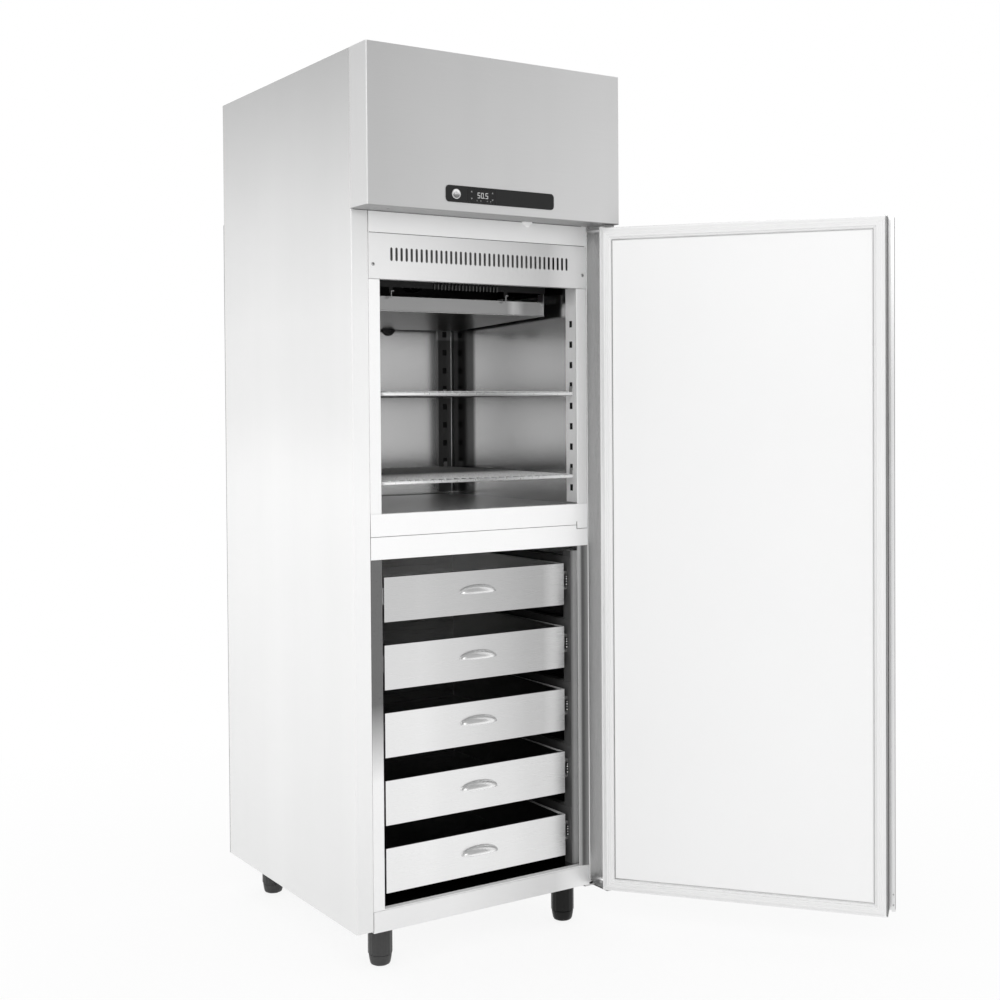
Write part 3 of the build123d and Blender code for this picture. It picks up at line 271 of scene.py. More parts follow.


# One look for each of the record's material slots. The steps are painted light and shade, at
# tones that the photograph shows: the shell is painted palest at mid height as a reflection,
# the foam's front is painted a plain grey as shade, the shelves take painted shade towards the
# back, and the feet take painted shade to the right.
looks = {
    "stainless_shell": brushed(
        "stainless_shell_up", 254, 0.20, "Z", streak=0.03, metallic=0.5,
        steps=[("Z", 1.1, 0.15, 238), ("Z", 1.5, 2.1, 226)],
    ),
    "galvanised_sheet": metal("galvanised_sheet", 196, 0.42, spread=0.08, grain=26.0, cloud=14.0),
    "liner_steel": brushed("liner_steel", 225, 0.24, "Z"),
    "white_plastic": plastic("white_plastic", 248, 0.35),
    "white_sheet": plastic("white_sheet", 236, 0.30),
    "rigid_foam": plastic(
        "rigid_foam", (226, 210, 160), 0.9, tone=0.06, steps=[("Y", 0.014, 0.008, 190)]
    ),
    "gasket_rubber": plastic("gasket_rubber", 242, 0.50),
    "fin_aluminium": metal("fin_aluminium", 205, 0.38),
    "fan_plastic": plastic("fan_plastic", 32, 0.45, tone=0.1),
    "drain_rubber": plastic("drain_rubber", 30, 0.55, tone=0.1),
    "zinc_steel": metal("zinc_steel", 200, 0.33),
    "shelf_wire": metal(
        "shelf_wire", 254, 0.30, metallic=0.3, tone=0.01, bump=0.002,
        steps=[("Y", 0.20, 0.30, 92)],
    ),
    "slide_steel": metal("slide_steel", 160, 0.32, metallic=0.6),
    "drawer_steel": brushed("drawer_steel", 222, 0.24, "X"),
    "handle_steel": metal(
        "handle_steel", 254, 0.24, tone=0.005, metallic=0.7, bump=0.001, spread=0.01
    ),
    "bush_plastic": plastic("bush_plastic", 225, 0.4),
    "foot_plastic": plastic(
        "foot_plastic", 70, 0.36, tone=0.12, grain=160.0, bump=0.03,
        steps=[("X", -0.2, 0.1, 4)], Specular_IOR_Level=0.25,
    ),
    "bezel_black": plastic("bezel_black", 21, 0.46, tone=0.08),
    "display_black": plastic("display_black", 5, 0.16, tone=0.1, bump=0.004),
    "button_chrome": metal("button_chrome", 240, 0.24, tone=0.03),
    "compressor_black": plastic("compressor_black", 26, 0.25, tone=0.1, grain=90.0, bump=0.05),
    "box_plastic": plastic("box_plastic", 128, 0.5, tone=0.04, bump=0.04),
    "copper_pipe": metal("copper_pipe", (205, 134, 98), 0.28, spread=0.08, tone=0.1, grain=60.0),
}
slot_of = {entry["node"]: entry["material_slot"] for entry in frame["record"]["subparts"]}

# Nodes whose place in the room gives them tones, among them painted light and shade, that
# their slot's look doesn't have
special = {
    # Painted light and shade: the left return is palest, the face pales to the right, and the lower
    # fold is dark as shade
    "fascia_panel": brushed(
        "fascia_steel", 250, 0.42, "X", streak=0.04, metallic=0.65,
        steps=[
            ("X", -0.349, -0.346, 216), ("X", -0.30, 0.30, 240), ("Z", 1.7490, 1.7472, 164),
        ],
    ),
    # The front fold is painted darker than the sheet behind it as shade, and darkest at the top
    "side_panel_right": brushed(
        "side_steel_right", 222, 0.24, "Z", streak=0.02, tone=0.01, bump=0.004, spread=0.01,
        steps=[("Z", 1.20, 1.65, 204), ("Y", 0.003, 0.008, 250)],
    ),
    "door_skin": brushed("door_steel", 236, 0.28, "Z", streak=0.04),
    # The sill, the header and the grille dip in painted shade before their right ends, which are
    # painted pale again
    "base_panel": brushed(
        "sill_steel", 244, 0.34, "X", streak=0.03, metallic=0.5,
        steps=[("X", -0.1, 0.15, 220), ("X", 0.2, 0.27, 250)],
    ),
    "machine_deck": brushed(
        "header_steel", 254, 0.34, "X", metallic=0.15,
        steps=[("X", -0.3, 0.2, 246), ("X", 0.24, 0.29, 254)],
    ),
    "grille_panel": brushed(
        "grille_steel", 254, 0.34, "X", streak=0.03, metallic=0.45,
        steps=[("X", -0.26, 0.16, 212), ("X", 0.19, 0.27, 250)],
    ),
    "divider_trim": plastic("divider_white", 253, 0.25, tone=0.01),
    "divider_panel": brushed("divider_sleeve", 236, 0.30, "X", metallic=0.8),
    # The housing is painted dark as shade up to the louvres, and a lighter painted grey above them
    "evaporator_housing": plastic("housing_painted_shade", 8, 0.6, steps=[("Z", 1.605, 1.63, 120)]),
    "evaporator_coil": metal("coil_fins", 120, 0.45),
    # The tray's front has a painted highlight, a bright band near its right end, and its underside
    # is painted in shade
    "drip_tray": brushed(
        "tray_steel", 170, 0.30, "X", streak=0.05,
        steps=[
            ("X", 0.150, 0.168, 226), ("X", 0.184, 0.202, 196), ("Z", 1.5295, 1.5287, 116),
        ],
    ),
    # Painted light and shade, in turn: the back wall to the right, the dark corner beside it in
    # two steps as a painted reflection of the rear upright, the rest of the right wall, the left
    # wall painted pale, and the lower bay in painted shade
    "inner_liner": brushed(
        "liner_bays", 254, 0.17, "Z", tone=0.03,
        steps=[
            ("X", -0.05, 0.28, 232), ("Y", 0.628, 0.620, 150), ("Y", 0.600, 0.588, 76),
            ("Y", 0.515, 0.497, 194), ("X", -0.270, -0.285, 254), ("Z", 0.90, 0.82, 150),
        ],
    ),
    # The front uprights are painted pale as lit steel, against the painted shade of the rear pair
    "shelf_uprights": brushed("upright_steel", 254, 0.30, "Z", metallic=0.1),
    # The left racks take painted shade towards the back
    "drawer_racks": metal("rack_steel", 196, 0.34, metallic=0.4, steps=[("Y", 0.058, 0.09, 84)]),
    # The frame falls into painted shade from the lower drawers up to the divider, and is white above
    "breaker_strip": plastic(
        "strip_white", 246, 0.30, steps=[("Z", 0.44, 0.62, 101), ("Z", 1.02, 1.06, 250)]
    ),
    "door_liner": plastic("door_white", 248, 0.32, tone=0.008),
}

# Each drawer's level at the left, middle and right of its front, and inside it, which paint its
# light and shade. The right wall's outer face is a painted highlight line in each.
DRAWER_LIGHT_LEVELS = (
    (210, 184, 250, 226),
    (230, 190, 254, 166),
    (244, 204, 246, 120),
    (247, 226, 238, 115),
    (249, 232, 236, 115),
)
for number, (left, centre, right, inside) in zip(DRAWERS, DRAWER_LIGHT_LEVELS):
    special[f"drawer_{number}"] = brushed(
        f"drawer_steel_{number}", left, 0.28, "X",
        streak=0.07, tone=0.012, bump=0.006, spread=0.01,
        steps=[
            ("X", -0.16, 0.14, centre), ("X", 0.19, 0.26, right),
            ("Y", 0.036, 0.040, inside), ("X", 0.252, 0.256, 252),
        ],
    )


def dress(obj, material):
    """Give every face of an object one material."""
    obj.data.materials.clear()
    obj.data.materials.append(material)


for node_name, obj in frame["nodes"].items():
    dress(obj, special.get(node_name) or looks[slot_of[node_name]])


def part_of(node_name, material, chosen):
    """Give some faces of a node a material of their own. They are chosen by a function of a
    face's centre, in millimetres, and its normal."""
    mesh = frame["nodes"][node_name].data
    mesh.materials.append(material)
    for polygon in mesh.polygons:
        if chosen(polygon.center / MM, polygon.normal):
            polygon.material_index = len(mesh.materials) - 1


# The rear pair of uprights is painted dark as the shade of the shelves, a little paler at the top
part_of(
    "shelf_uprights",
    brushed("upright_rear_shade", 92, 0.30, "Z", metallic=0.5, steps=[("Z", 1.486, 1.492, 140)]),
    lambda at, normal: at.y > 300,
)

# The frame's right side is painted greyer as shade, with a painted shadow line along the opening
part_of(
    "breaker_strip",
    plastic(
        "strip_right_shade", 176, 0.30,
        steps=[("X", 0.282, 0.288, 96), ("X", 0.292, 0.309, 170), ("Z", 1.02, 1.06, 236)],
    ),
    lambda at, normal: at.x > 270,
)

# The right-hand racks are painted in shade but for their outer sides, which are painted pale
part_of(
    "drawer_racks",
    metal(
        "rack_steel_right_shade", 110, 0.34, metallic=0.4,
        steps=[("X", 0.270, 0.280, 236), ("Y", 0.058, 0.09, 84)],
    ),
    lambda at, normal: at.x > 0,
)

# The top edges of the drawers' side walls are painted bright where they catch the light
rim_highlight = brushed("drawer_rim_highlight", 254, 0.26, "Y", metallic=0.2)
for number in DRAWERS:
    part_of(
        f"drawer_{number}",
        rim_highlight,
        lambda at, normal: at.y > 45 and abs(at.x) > 250 and normal.z > 0.7,
    )

# The door's free edge is painted a tone darker than its faces, as shade
outward = Vector((-math.cos(DOOR_OPEN), -math.sin(DOOR_OPEN), 0))
part_of(
    "door_skin",
    brushed("door_edge_shade", 158, 0.40, "Z", Specular_Tint=(0.25, 0.25, 0.25, 1.0)),
    lambda at, normal: normal.dot(outward) > 0.35,
)


def circle(sides):
    """The angles of a whole turn's steps."""
    return [2 * math.pi * step / sides for step in range(sides)]


class Form:
    """Points and faces of one piece, in millimetres."""

    def __init__(self):
        self.points = []
        self.faces = []

    def rings(self, rings, around=True, caps=True, joined=False):
        """Skin over rings of as many points each. Joined closes the last ring to the first."""
        first = len(self.points)
        count = len(rings[0])
        for ring in rings:
            self.points += [tuple(point) for point in ring]
        for row in range(len(rings) if joined else len(rings) - 1):
            near = first + row * count
            far = first + (row + 1) % len(rings) * count
            for step in range(count if around else count - 1):
                other = (step + 1) % count
                self.faces.append((near + step, near + other, far + other, far + step))
        if caps and not joined:
            last = first + (len(rings) - 1) * count
            self.faces.append(tuple(range(first, first + count)))
            self.faces.append(tuple(range(last, last + count)))

    def turned(self, profile, at=(0, 0, 0), axis="Z", sides=32, flutes=0, depth=0.0):
        """A turned shape. The profile holds (radius, distance along the axis), and flutes are
        hollows of a depth round it."""
        rings = []
        for radius, along in profile:
            ring = []
            for turn in circle(sides):
                reach = radius - (depth * (1 - math.cos(flutes * turn)) / 2 if flutes else 0)
                a, b = reach * math.cos(turn), reach * math.sin(turn)
                spot = {"X": (along, a, b), "Y": (a, along, b), "Z": (a, b, along)}[axis]
                ring.append(tuple(place + offset for place, offset in zip(at, spot)))
            rings.append(ring)
        self.rings(rings)

    def tube(self, path, radius, sides=12):
        """A round bar along a path."""
        path = [Vector(point) for point in path]
        ahead = (path[1] - path[0]).normalized()
        side = ahead.orthogonal().normalized()
        rings = []
        for index, point in enumerate(path):
            before = path[max(index - 1, 0)]
            after = path[min(index + 1, len(path) - 1)]
            turned = (after - before).normalized()
            side = (ahead.rotation_difference(turned) @ side).normalized()
            ahead = turned
            other = ahead.cross(side)
            rings.append([
                point + radius * (math.cos(turn) * side + math.sin(turn) * other)
                for turn in circle(sides)
            ])
        self.rings(rings)

    def slab(self, x, y, z, edge=0.0):
        """A block between two places on each axis, with its edges broken by a chamfer."""
        if edge:
            outline = [
                (x[0], z[0] + edge), (x[0] + edge, z[0]), (x[1] - edge, z[0]), (x[1], z[0] + edge),
                (x[1], z[1] - edge), (x[1] - edge, z[1]), (x[0] + edge, z[1]), (x[0], z[1] - edge),
            ]
            centre_x, centre_z = (x[0] + x[1]) / 2, (z[0] + z[1]) / 2
            small = [
                (a - math.copysign(edge, a - centre_x), b - math.copysign(edge, b - centre_z))
                for a, b in outline
            ]
            levels = ((y[0], small), (y[0] + edge, outline), (y[1] - edge, outline), (y[1], small))
        else:
            outline = [(x[0], z[0]), (x[1], z[0]), (x[1], z[1]), (x[0], z[1])]
            levels = ((y[0], outline), (y[1], outline))
        self.rings([[(a, level, b) for a, b in ring] for level, ring in levels])

    def swung(self):
        """Everything so far, turned with the open door about its pins."""
        cosine, sine = math.cos(DOOR_OPEN), math.sin(DOOR_OPEN)
        moved = []
        for x, y, z in self.points:
            x, y = x - HINGE_X, y - HINGE_Y
            moved.append((HINGE_X + cosine * x - sine * y, HINGE_Y + sine * x + cosine * y, z))
        self.points = moved
        return self

    def place(self, name, material, body, slot, stands_for=(), sharp=34.0):
        """The piece as an object that rides on a body. Edges sharper than an angle in degrees
        stay sharp."""
        mesh = bpy.data.meshes.new(name)
        points = [[MM * value for value in point] for point in self.points]
        mesh.from_pydata(points, [], self.faces)
        build = bmesh.new()
        build.from_mesh(mesh)
        bmesh.ops.remove_doubles(build, verts=build.verts, dist=1e-7)
        bmesh.ops.recalc_face_normals(build, faces=build.faces)
        build.to_mesh(mesh)
        build.free()
        mesh.polygons.foreach_set("use_smooth", [True] * len(mesh.polygons))
        mesh.set_sharp_from_angle(angle=math.radians(sharp))
        obj = bpy.data.objects.new(name, mesh)
        bpy.context.collection.objects.link(obj)
        dress(obj, material)
        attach(obj, body)
        if stands_for:
            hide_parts(*stands_for)


def bent(points, radius, steps=6):
    """A path with each corner rounded to a radius."""
    points = [Vector(point) for point in points]
    path = [points[0]]
    for before, corner, after in zip(points, points[1:], points[2:]):
        a, b = (before - corner).normalized(), (after - corner).normalized()
        half = a.angle(b) / 2
        start, end = corner + a * radius / math.tan(half), corner + b * radius / math.tan(half)
        centre = corner + (a + b).normalized() * radius / math.sin(half)
        for step in range(steps + 1):
            spoke = (start - centre).slerp(end - centre, step / steps)
            path.append(centre + spoke.normalized() * radius)
    path.append(points[-1])
    return path


def about(at, half):
    """The places a half width either side of another."""
    return at - half, at + half


def mirrored(side, near, far):
    """Two distances from the middle as places in rising order, on the side -1 or 1."""
    return sorted((side * near, side * far))


def handles():
    """Cup pulls: a pressed half shell, open below, with a rolled lip along its free edge."""
    half_width, reach, rise, wall = 51.5, 19.0, 19.5, 1.4
    fullness = 0.9
    lip_radius, lip_lift = 0.9, 0.4
    steps, climb = 40, 10

    def arch(shrink, lift, base):
        """A row of points from side to side, lifted by an angle from the free edge."""
        row = []
        for step in range(steps + 1):
            turn = math.pi * step / steps
            bulge = math.sin(turn) ** fullness
            out = (reach - shrink) * bulge * math.cos(lift)
            up = (rise - shrink) * bulge * math.sin(lift)
            row.append(((half_width - shrink) * math.cos(turn), DRAWER_FRONT - out, base + up))
        return row

    lifts = [math.pi / 2 * row / climb for row in range(climb + 1)]
    for number in DRAWERS:
        low = corners(f"handle_{number}")[0][2]
        form = Form()
        for shrink in (0.0, wall):
            form.rings([arch(shrink, lift, low) for lift in lifts], around=False, caps=False)
        form.tube(arch(wall / 2, 0.0, low + lip_lift), lip_radius, 8)
        form.place(
            f"handle_shell_{number}", looks["handle_steel"], f"drawer_unit_{number}",
            "handle_steel", (f"handle_{number}",), sharp=50,
        )


def levelling_feet():
    """Fluted sleeves, and the tapered feet that wind out of them."""
    # Each profile holds (radius, height)
    sleeve_profile = [
        (12.2, 27), (27.0, 26), (28.6, 27.2), (28.9, 30), (28.9, 95), (12.2, 95),
    ]
    foot_profile = [
        (4, 0.6), (15, 0.0), (19.5, 0.6), (22.5, 2.4), (24.0, 5.0), (25.2, 9.5),
        (26.3, 15.5), (27.2, 22.0), (27.3, 25.0), (26.4, 25.9), (11.9, 25.95), (11.9, 81),
    ]
    black = looks["foot_plastic"]
    sleeves = Form()
    for name in ("front_left", "front_right", "rear_left", "rear_right"):
        x, y, _ = middle(f"foot_{name}")
        sleeves.turned(sleeve_profile, (x, y, 0), sides=96, flutes=16, depth=0.7)
        foot = Form()
        foot.turned(foot_profile, (x, y, 0), sides=64, flutes=8, depth=0.35)
        foot.place(
            f"levelling_foot_{name}", black, f"{name}_foot", "foot_plastic", (f"foot_{name}",)
        )
    sleeves.place("fluted_sleeves", black, "cabinet", "foot_plastic", ("foot_sleeves",))


def gasket():
    """A ribbed profile run round the door and mitred at its corners."""
    margin, width = 5.0, 24.0
    # One half of the profile, as (distance from its outer side, y) on the closed door
    half = [
        (0, DOOR_INNER), (0, -6), (1, -5), (3.4, -5), (4.5, -4.0), (4.5, -1.8), (5.1, -0.9),
        (6.2, -0.5), (8.6, -0.4), (9.5, -1.2), (10.4, -1.2), (11.2, -0.4),
    ]
    profile = half + [(width - inset, y) for inset, y in reversed(half)]
    rings = []
    for side_x, side_z in ((0, 0), (1, 0), (1, 1), (0, 1)):
        ring = []
        for inset, y in profile:
            inset += margin
            x = DOOR_X[side_x] + (-inset if side_x else inset)
            z = DOOR_Z[side_z] + (-inset if side_z else inset)
            ring.append((x, y, z))
        rings.append(ring)
    form = Form()
    form.rings(rings, joined=True)
    form.swung().place(
        "ribbed_gasket", looks["gasket_rubber"], "door", "gasket_rubber", ("door_gasket",),
        sharp=25,
    )


def shelves():
    """Round rods and wires in place of the plain ones."""
    rod_radius, wire_radius = 4.0, 1.45
    rail, corner = 267.4, 9.0
    rod_count, rod_inset = 5, 4.62
    rod_drop, wire_lift = 7.1, 5.3
    wire_count, wire_pitch = 25, 21.0
    # Each wire's ends turn down: (distance from the shelf's end, distance below its top)
    turned_down = ((0.9, 2.6), (1.6, 0.9), (3.2, 0.0))
    for name in ("lower", "upper"):
        (_, front, _), (_, back, high) = corners(f"shelf_{name}")
        level = high - rod_drop
        span = back - front - 2 * rod_inset
        rods = [front + rod_inset + span * row / (rod_count - 1) for row in range(rod_count)]
        form = Form()
        loop = [
            (0, rods[0], level), (rail, rods[0], level), (rail, rods[-1], level),
            (-rail, rods[-1], level), (-rail, rods[0], level), (0, rods[0], level),
        ]
        form.tube(bent(loop, corner), rod_radius, 16)
        for y in rods[1:-1]:
            form.tube([(-rail, y, level), (rail, y, level)], rod_radius, 12)
        top = level + wire_lift
        for index in range(wire_count):
            x = (index - (wire_count - 1) / 2) * wire_pitch
            near = [(x, front + inset, top - drop) for inset, drop in turned_down]
            far = [(x, back - inset, top - drop) for inset, drop in reversed(turned_down)]
            form.tube(near + far, wire_radius, 8)
        form.place(
            f"wire_shelf_{name}", looks["shelf_wire"], f"{name}_shelf", "shelf_wire",
            (f"shelf_{name}",), sharp=60,
        )


def grille():
    """The grille's sheet with round-ended slots and its folded lower edge."""
    (left, front, low), (right, fold_back, high) = corners("grille_panel")
    sheet, slot_drop = 1.2, 47.0
    back = front + sheet
    count, pitch, wide, tall = 38, 13.3, 6.2, 31.0
    slot_z = HEADER_LOW - slot_drop
    bevel = 0.35
    hem, fold, fold_inset = 0.4, 1.2, 30.0
    arc_steps = 6
    # Points along a cell's edge, one for each point of a slot's round end
    shares = (1, 0.66, 0.33, 0, -0.33, -0.66, -1)

    def slot(x, y, grow):
        """A round-ended slot's outline, wider all round by grow."""
        radius = wide / 2 + grow
        points = []
        for end, start in ((1, 0), (-1, math.pi)):
            for step in range(arc_steps + 1):
                turn = start + math.pi * step / arc_steps
                z = slot_z + end * (tall - wide) / 2 + radius * math.sin(turn)
                points.append((x + radius * math.cos(turn), y, z))
        return points

    def cell(x, y):
        """The outline of the sheet round one slot."""
        top = [(x + pitch / 2 * share, y, high) for share in shares]
        bottom = [(x - pitch / 2 * share, y, low) for share in shares]
        return top + bottom

    form = Form()
    for index in range(count):
        x = (index - (count - 1) / 2) * pitch
        form.rings(
            [
                cell(x, front), slot(x, front, bevel), slot(x, front + bevel, 0),
                slot(x, back, 0), cell(x, back),
            ],
            caps=False,
        )
    for side in (-1, 1):
        form.slab(mirrored(side, count * pitch / 2, right), (front, back), (low, high))
    form.slab((left, right), (front, back), (low, low + hem))
    form.slab((left + fold_inset, right - fold_inset), (back, fold_back), (low, low + fold))
    form.place(
        "slotted_grille", special["grille_panel"], "cabinet", "white_sheet", ("grille_panel",),
        sharp=30,
    )


# The segments that each digit lights, lettered clockwise from the top with g in the middle
SEGMENTS = {"0": "abcdef", "5": "afgcd"}
sign_grey = plastic("display_dim", 135, 0.5)


def display():
    """Digits and signs on the control strip's window."""
    centre_x, _, centre_z = middle("display_window")
    face = corners("display_window")[0][1]
    digit_skin = (face - 0.15, face + 0.1)
    sign_skin = (face - 0.12, face + 0.1)
    tall, wide, bar, gap = 13.0, 7.0, 1.5, 0.4
    base = centre_z - 6.0
    # Distances from the window's middle to the left side of each digit and of the point
    first, second, third, point = -11.0, -1.5, 10.5, 6.4
    point_size = 1.8
    arrow_spots, arrow_lift = (-27.0, 30.0), 8.0
    arrow_half, arrow_foot, arrow_tip = 2.6, 1.6, 2.4
    cross_spots, cross_drop = (-12.3, -2.3, 15.7, 24.7), 11.8
    cross_long, cross_short = 1.7, 0.6
    form = Form()

    def digit(text, x):
        """One digit's lit segments, from its left side x."""
        half = base + tall / 2
        left, right = (x, x + bar), (x + wide - bar, x + wide)
        upper, lower = (half + gap, base + tall - gap), (base + gap, half - gap)
        spans = {
            "a": ((x, x + wide), (base + tall - bar, base + tall)),
            "g": ((x, x + wide), about(half, bar / 2)),
            "d": ((x, x + wide), (base, base + bar)),
            "f": (left, upper),
            "b": (right, upper),
            "e": (left, lower),
            "c": (right, lower),
        }
        for name in SEGMENTS[text]:
            across, up = spans[name]
            form.slab(across, digit_skin, up)

    glow = plastic("display_marks", 175, 0.5, Emission_Strength=0.25, Emission_Color=linear(215))
    digit("5", centre_x + first)
    digit("0", centre_x + second)
    left = centre_x + point
    form.slab((left, left + point_size), digit_skin, (base, base + point_size))
    digit("5", centre_x + third)
    form.place("display_digits", glow, "cabinet", "display_black", sharp=20)

    signs = Form()
    for spot in arrow_spots:
        x = centre_x + spot
        for way in (1, -1):
            z = centre_z + way * arrow_lift
            foot, tip = z - way * arrow_foot, z + way * arrow_tip
            arrow = ((x - arrow_half, foot), (x + arrow_half, foot), (x, tip))
            signs.rings([[(a, y, b) for a, b in arrow] for y in sign_skin])
    for spot in cross_spots:
        for half_wide, half_tall in ((cross_long, cross_short), (cross_short, cross_long)):
            across, up = about(centre_x + spot, half_wide), about(centre_z - cross_drop, half_tall)
            signs.slab(across, sign_skin, up)
    signs.place("display_signs", sign_grey, "cabinet", "display_black", sharp=20)


def power_button():
    """The turned button, with a plain stand-by sign on its face."""
    x, _, z = middle("power_button")
    front = corners("power_button")[0][1]
    button = Form()
    # The profile holds (radius, distance behind the front)
    profile = [
        (11.8, 13.7), (11.8, 0.9), (11.5, 0.3), (10.9, 0.05), (9.4, 0.05), (9.0, 0.35),
        (0.01, 0.5),
    ]
    button.turned(profile, (x, front, z), "Y", 64)
    button.place(
        "turned_button", looks["button_chrome"], "button", "button_chrome", ("power_button",),
        sharp=40,
    )

    face, line = front + 0.4, 0.4
    radius, opening, steps = 4.6, 35, 28
    bar_low, bar_high = 1.4, 6.2
    sweep = 360 - 2 * opening
    turns = [math.radians(opening + sweep * step / steps) for step in range(steps + 1)]
    arc = [(x + radius * math.sin(turn), face, z + radius * math.cos(turn)) for turn in turns]
    sign = Form()
    sign.tube(arc, line, 6)
    sign.tube([(x, face, z + bar_low), (x, face, z + bar_high)], line, 6)
    sign.place("button_sign", sign_grey, "button", "button_chrome", sharp=60)


def switch():
    """The door switch: a wide cap under the fascia that narrows to its plunger."""
    x, y, _ = middle("door_switch")
    roundness = 0.45
    # Each ring's distance below the fascia, half width and half depth
    stages = (
        (0.0, 14.0, 4.0), (2.3, 14.0, 4.0), (3.9, 12.6, 3.8), (5.3, 9.4, 3.6),
        (6.9, 6.9, 3.3), (9.3, 5.6, 3.0), (11.3, 4.6, 2.5), (12.0, 3.2, 1.7),
    )

    def squared(reach, share):
        """A distance from the middle on an outline between a circle and a square."""
        return reach * math.copysign(abs(share) ** roundness, share)

    form = Form()
    form.rings([
        [
            (x + squared(half, math.cos(turn)), y + squared(deep, math.sin(turn)), FASCIA_LOW - drop)
            for turn in circle(24)
        ]
        for drop, half, deep in stages
    ])
    white = plastic("switch_white", 254, 0.3, tone=0.005)
    form.place("switch_cap", white, "cabinet", "white_plastic", ("door_switch",), sharp=40)


def screws():
    """Pan heads on the grille and on the condenser's shroud, each with its cross recess drawn as
    a dark cross of painted shade.
    """
    wide, thick = 4.5, 1.8
    profile = [(0.01, thick), (1.5, 1.78), (3.0, 1.5), (4.0, 0.9), (4.45, 0.3), (wide, 0.0)]
    cut_from, cut_to = 1.2, 1.88
    (flange_left, _, low), (right, back, high) = corners("screws")
    grille_x, grille_z = right - wide, low + wide
    flange_y, flange_z = back - wide, high - thick
    flange_x = flange_left + wide
    flange_pitch = 234.0
    heads = Form()
    recess = Form()
    for axis, (x, y, z), way in (
        ("Y", (-grille_x, GRILLE_FRONT, grille_z), -1),
        ("Y", (grille_x, GRILLE_FRONT, grille_z), -1),
        ("Z", (flange_x, flange_y, flange_z), 1),
        ("Z", (flange_x + flange_pitch, flange_y, flange_z), 1),
    ):
        heads.turned([(radius, way * height) for radius, height in profile], (x, y, z), axis, 24)
        for long, short in ((2.4, 0.5), (0.5, 2.4)):
            if axis == "Y":
                recess.slab(about(x, long), (y - cut_to, y - cut_from), about(z, short))
            else:
                recess.slab(about(x, long), about(y, short), (z + cut_from, z + cut_to))
    zinc = looks["zinc_steel"]
    heads.place("pan_heads", zinc, "cabinet", "zinc_steel", ("screws",), sharp=40)
    recess.place("screw_recess_shade", plastic("recess_painted_shade", 40, 0.6), "cabinet", "zinc_steel")


def slot_shadow_strips():
    """Dark strips of painted shade behind the slots of the uprights, as deep as the clips'
    hooks leave them.
    """
    (_, front, low), (right, back, high) = corners("shelf_uprights")
    tall = (low + 2.0, high - 1.0)
    deep, shallow = 1.4, 0.4
    rear_x, half_width = 264.0, 19.0
    form = Form()
    for side in (-1, 1):
        front_x = mirrored(side, right - deep, right - shallow)
        form.slab(front_x, (front + 2.0, front + 40.0), tall)
        form.slab(about(side * rear_x, half_width), (back - deep, back - shallow), tall)
    form.place("slot_shadow_strips", plastic("slot_shadow", 14, 0.7), "cabinet", "liner_steel")


def evaporator_front():
    """Louvre lips over the housing's slots in a paler painted shade than the housing, two hangers,
    and the tray's rolled hem.
    """
    _, front, low = corners("evaporator_housing")[0]
    count, pitch, lips_x, lips_z = 19, 10.0, 26.5, (low + 12.0, low + 25.0)
    lip_half, lip_out, lip_edge = 1.1, 0.8, 0.3
    lips = Form()
    for index in range(count):
        x = lips_x + (index - (count - 1) / 2) * pitch
        lips.slab(about(x, lip_half), (front - lip_out, front), lips_z, lip_edge)
    lips.place("louvre_lips", plastic("lip_painted_shade", 98, 0.4), "cabinet", "white_sheet")

    bright = metal("hanger_bright", 196, 0.25, metallic=0.6)
    wire, wire_bend, toe, ear = 1.1, 2.5, 11.0, 7.0
    y, hook_top, hook_low = front - 1.2, low + 5.0, low - 12.0
    hooks = Form()
    for x in (-184.0, 142.0):
        hook = [(x, y, hook_top), (x, y, hook_low), (x - toe, y, hook_low)]
        hooks.tube(bent(hook, wire_bend), wire, 8)
        hooks.tube([(x, y, hook_top), (x + ear, y, hook_top)], wire, 8)
    hooks.place("wire_hangers", bright, "cabinet", "white_sheet", sharp=60)

    (left, tray_front, _), (right, _, _) = corners("drip_tray")
    hem = Form()
    # Each hem's distance from the tray's front, height, radius and number of sides
    for out, z, radius, sides in ((0.6, 1529.8, 1.3, 10), (0.4, 1563.6, 0.7, 8)):
        y = tray_front - out
        hem.tube([(left, y, z), (right, y, z)], radius, sides)
    tab_wide, tab_out, tab_z, tab_edge = 8.0, 1.4, (1552.0, 1563.0), 0.4
    hem.slab((right - tab_wide, right), (tray_front - tab_out, tray_front), tab_z, tab_edge)
    hem.place("tray_hem", bright, "cabinet", "liner_steel", sharp=60)


def drain_nut():
    """The rubber nut that seals the drain where it leaves the tray for the back wall."""
    profile = [
        (8.0, 573), (19.0, 573), (20.5, 571.5), (20.5, 566.5), (19.0, 564.5), (13.0, 563.5),
        (12.0, 566.0), (8.0, 566.0),
    ]
    x, z = 52.0, 1515.0
    form = Form()
    form.turned(profile, (x, 0, z), "Y", 48)
    form.place("drain_nut", looks["drain_rubber"], "cabinet", "drain_rubber", sharp=40)


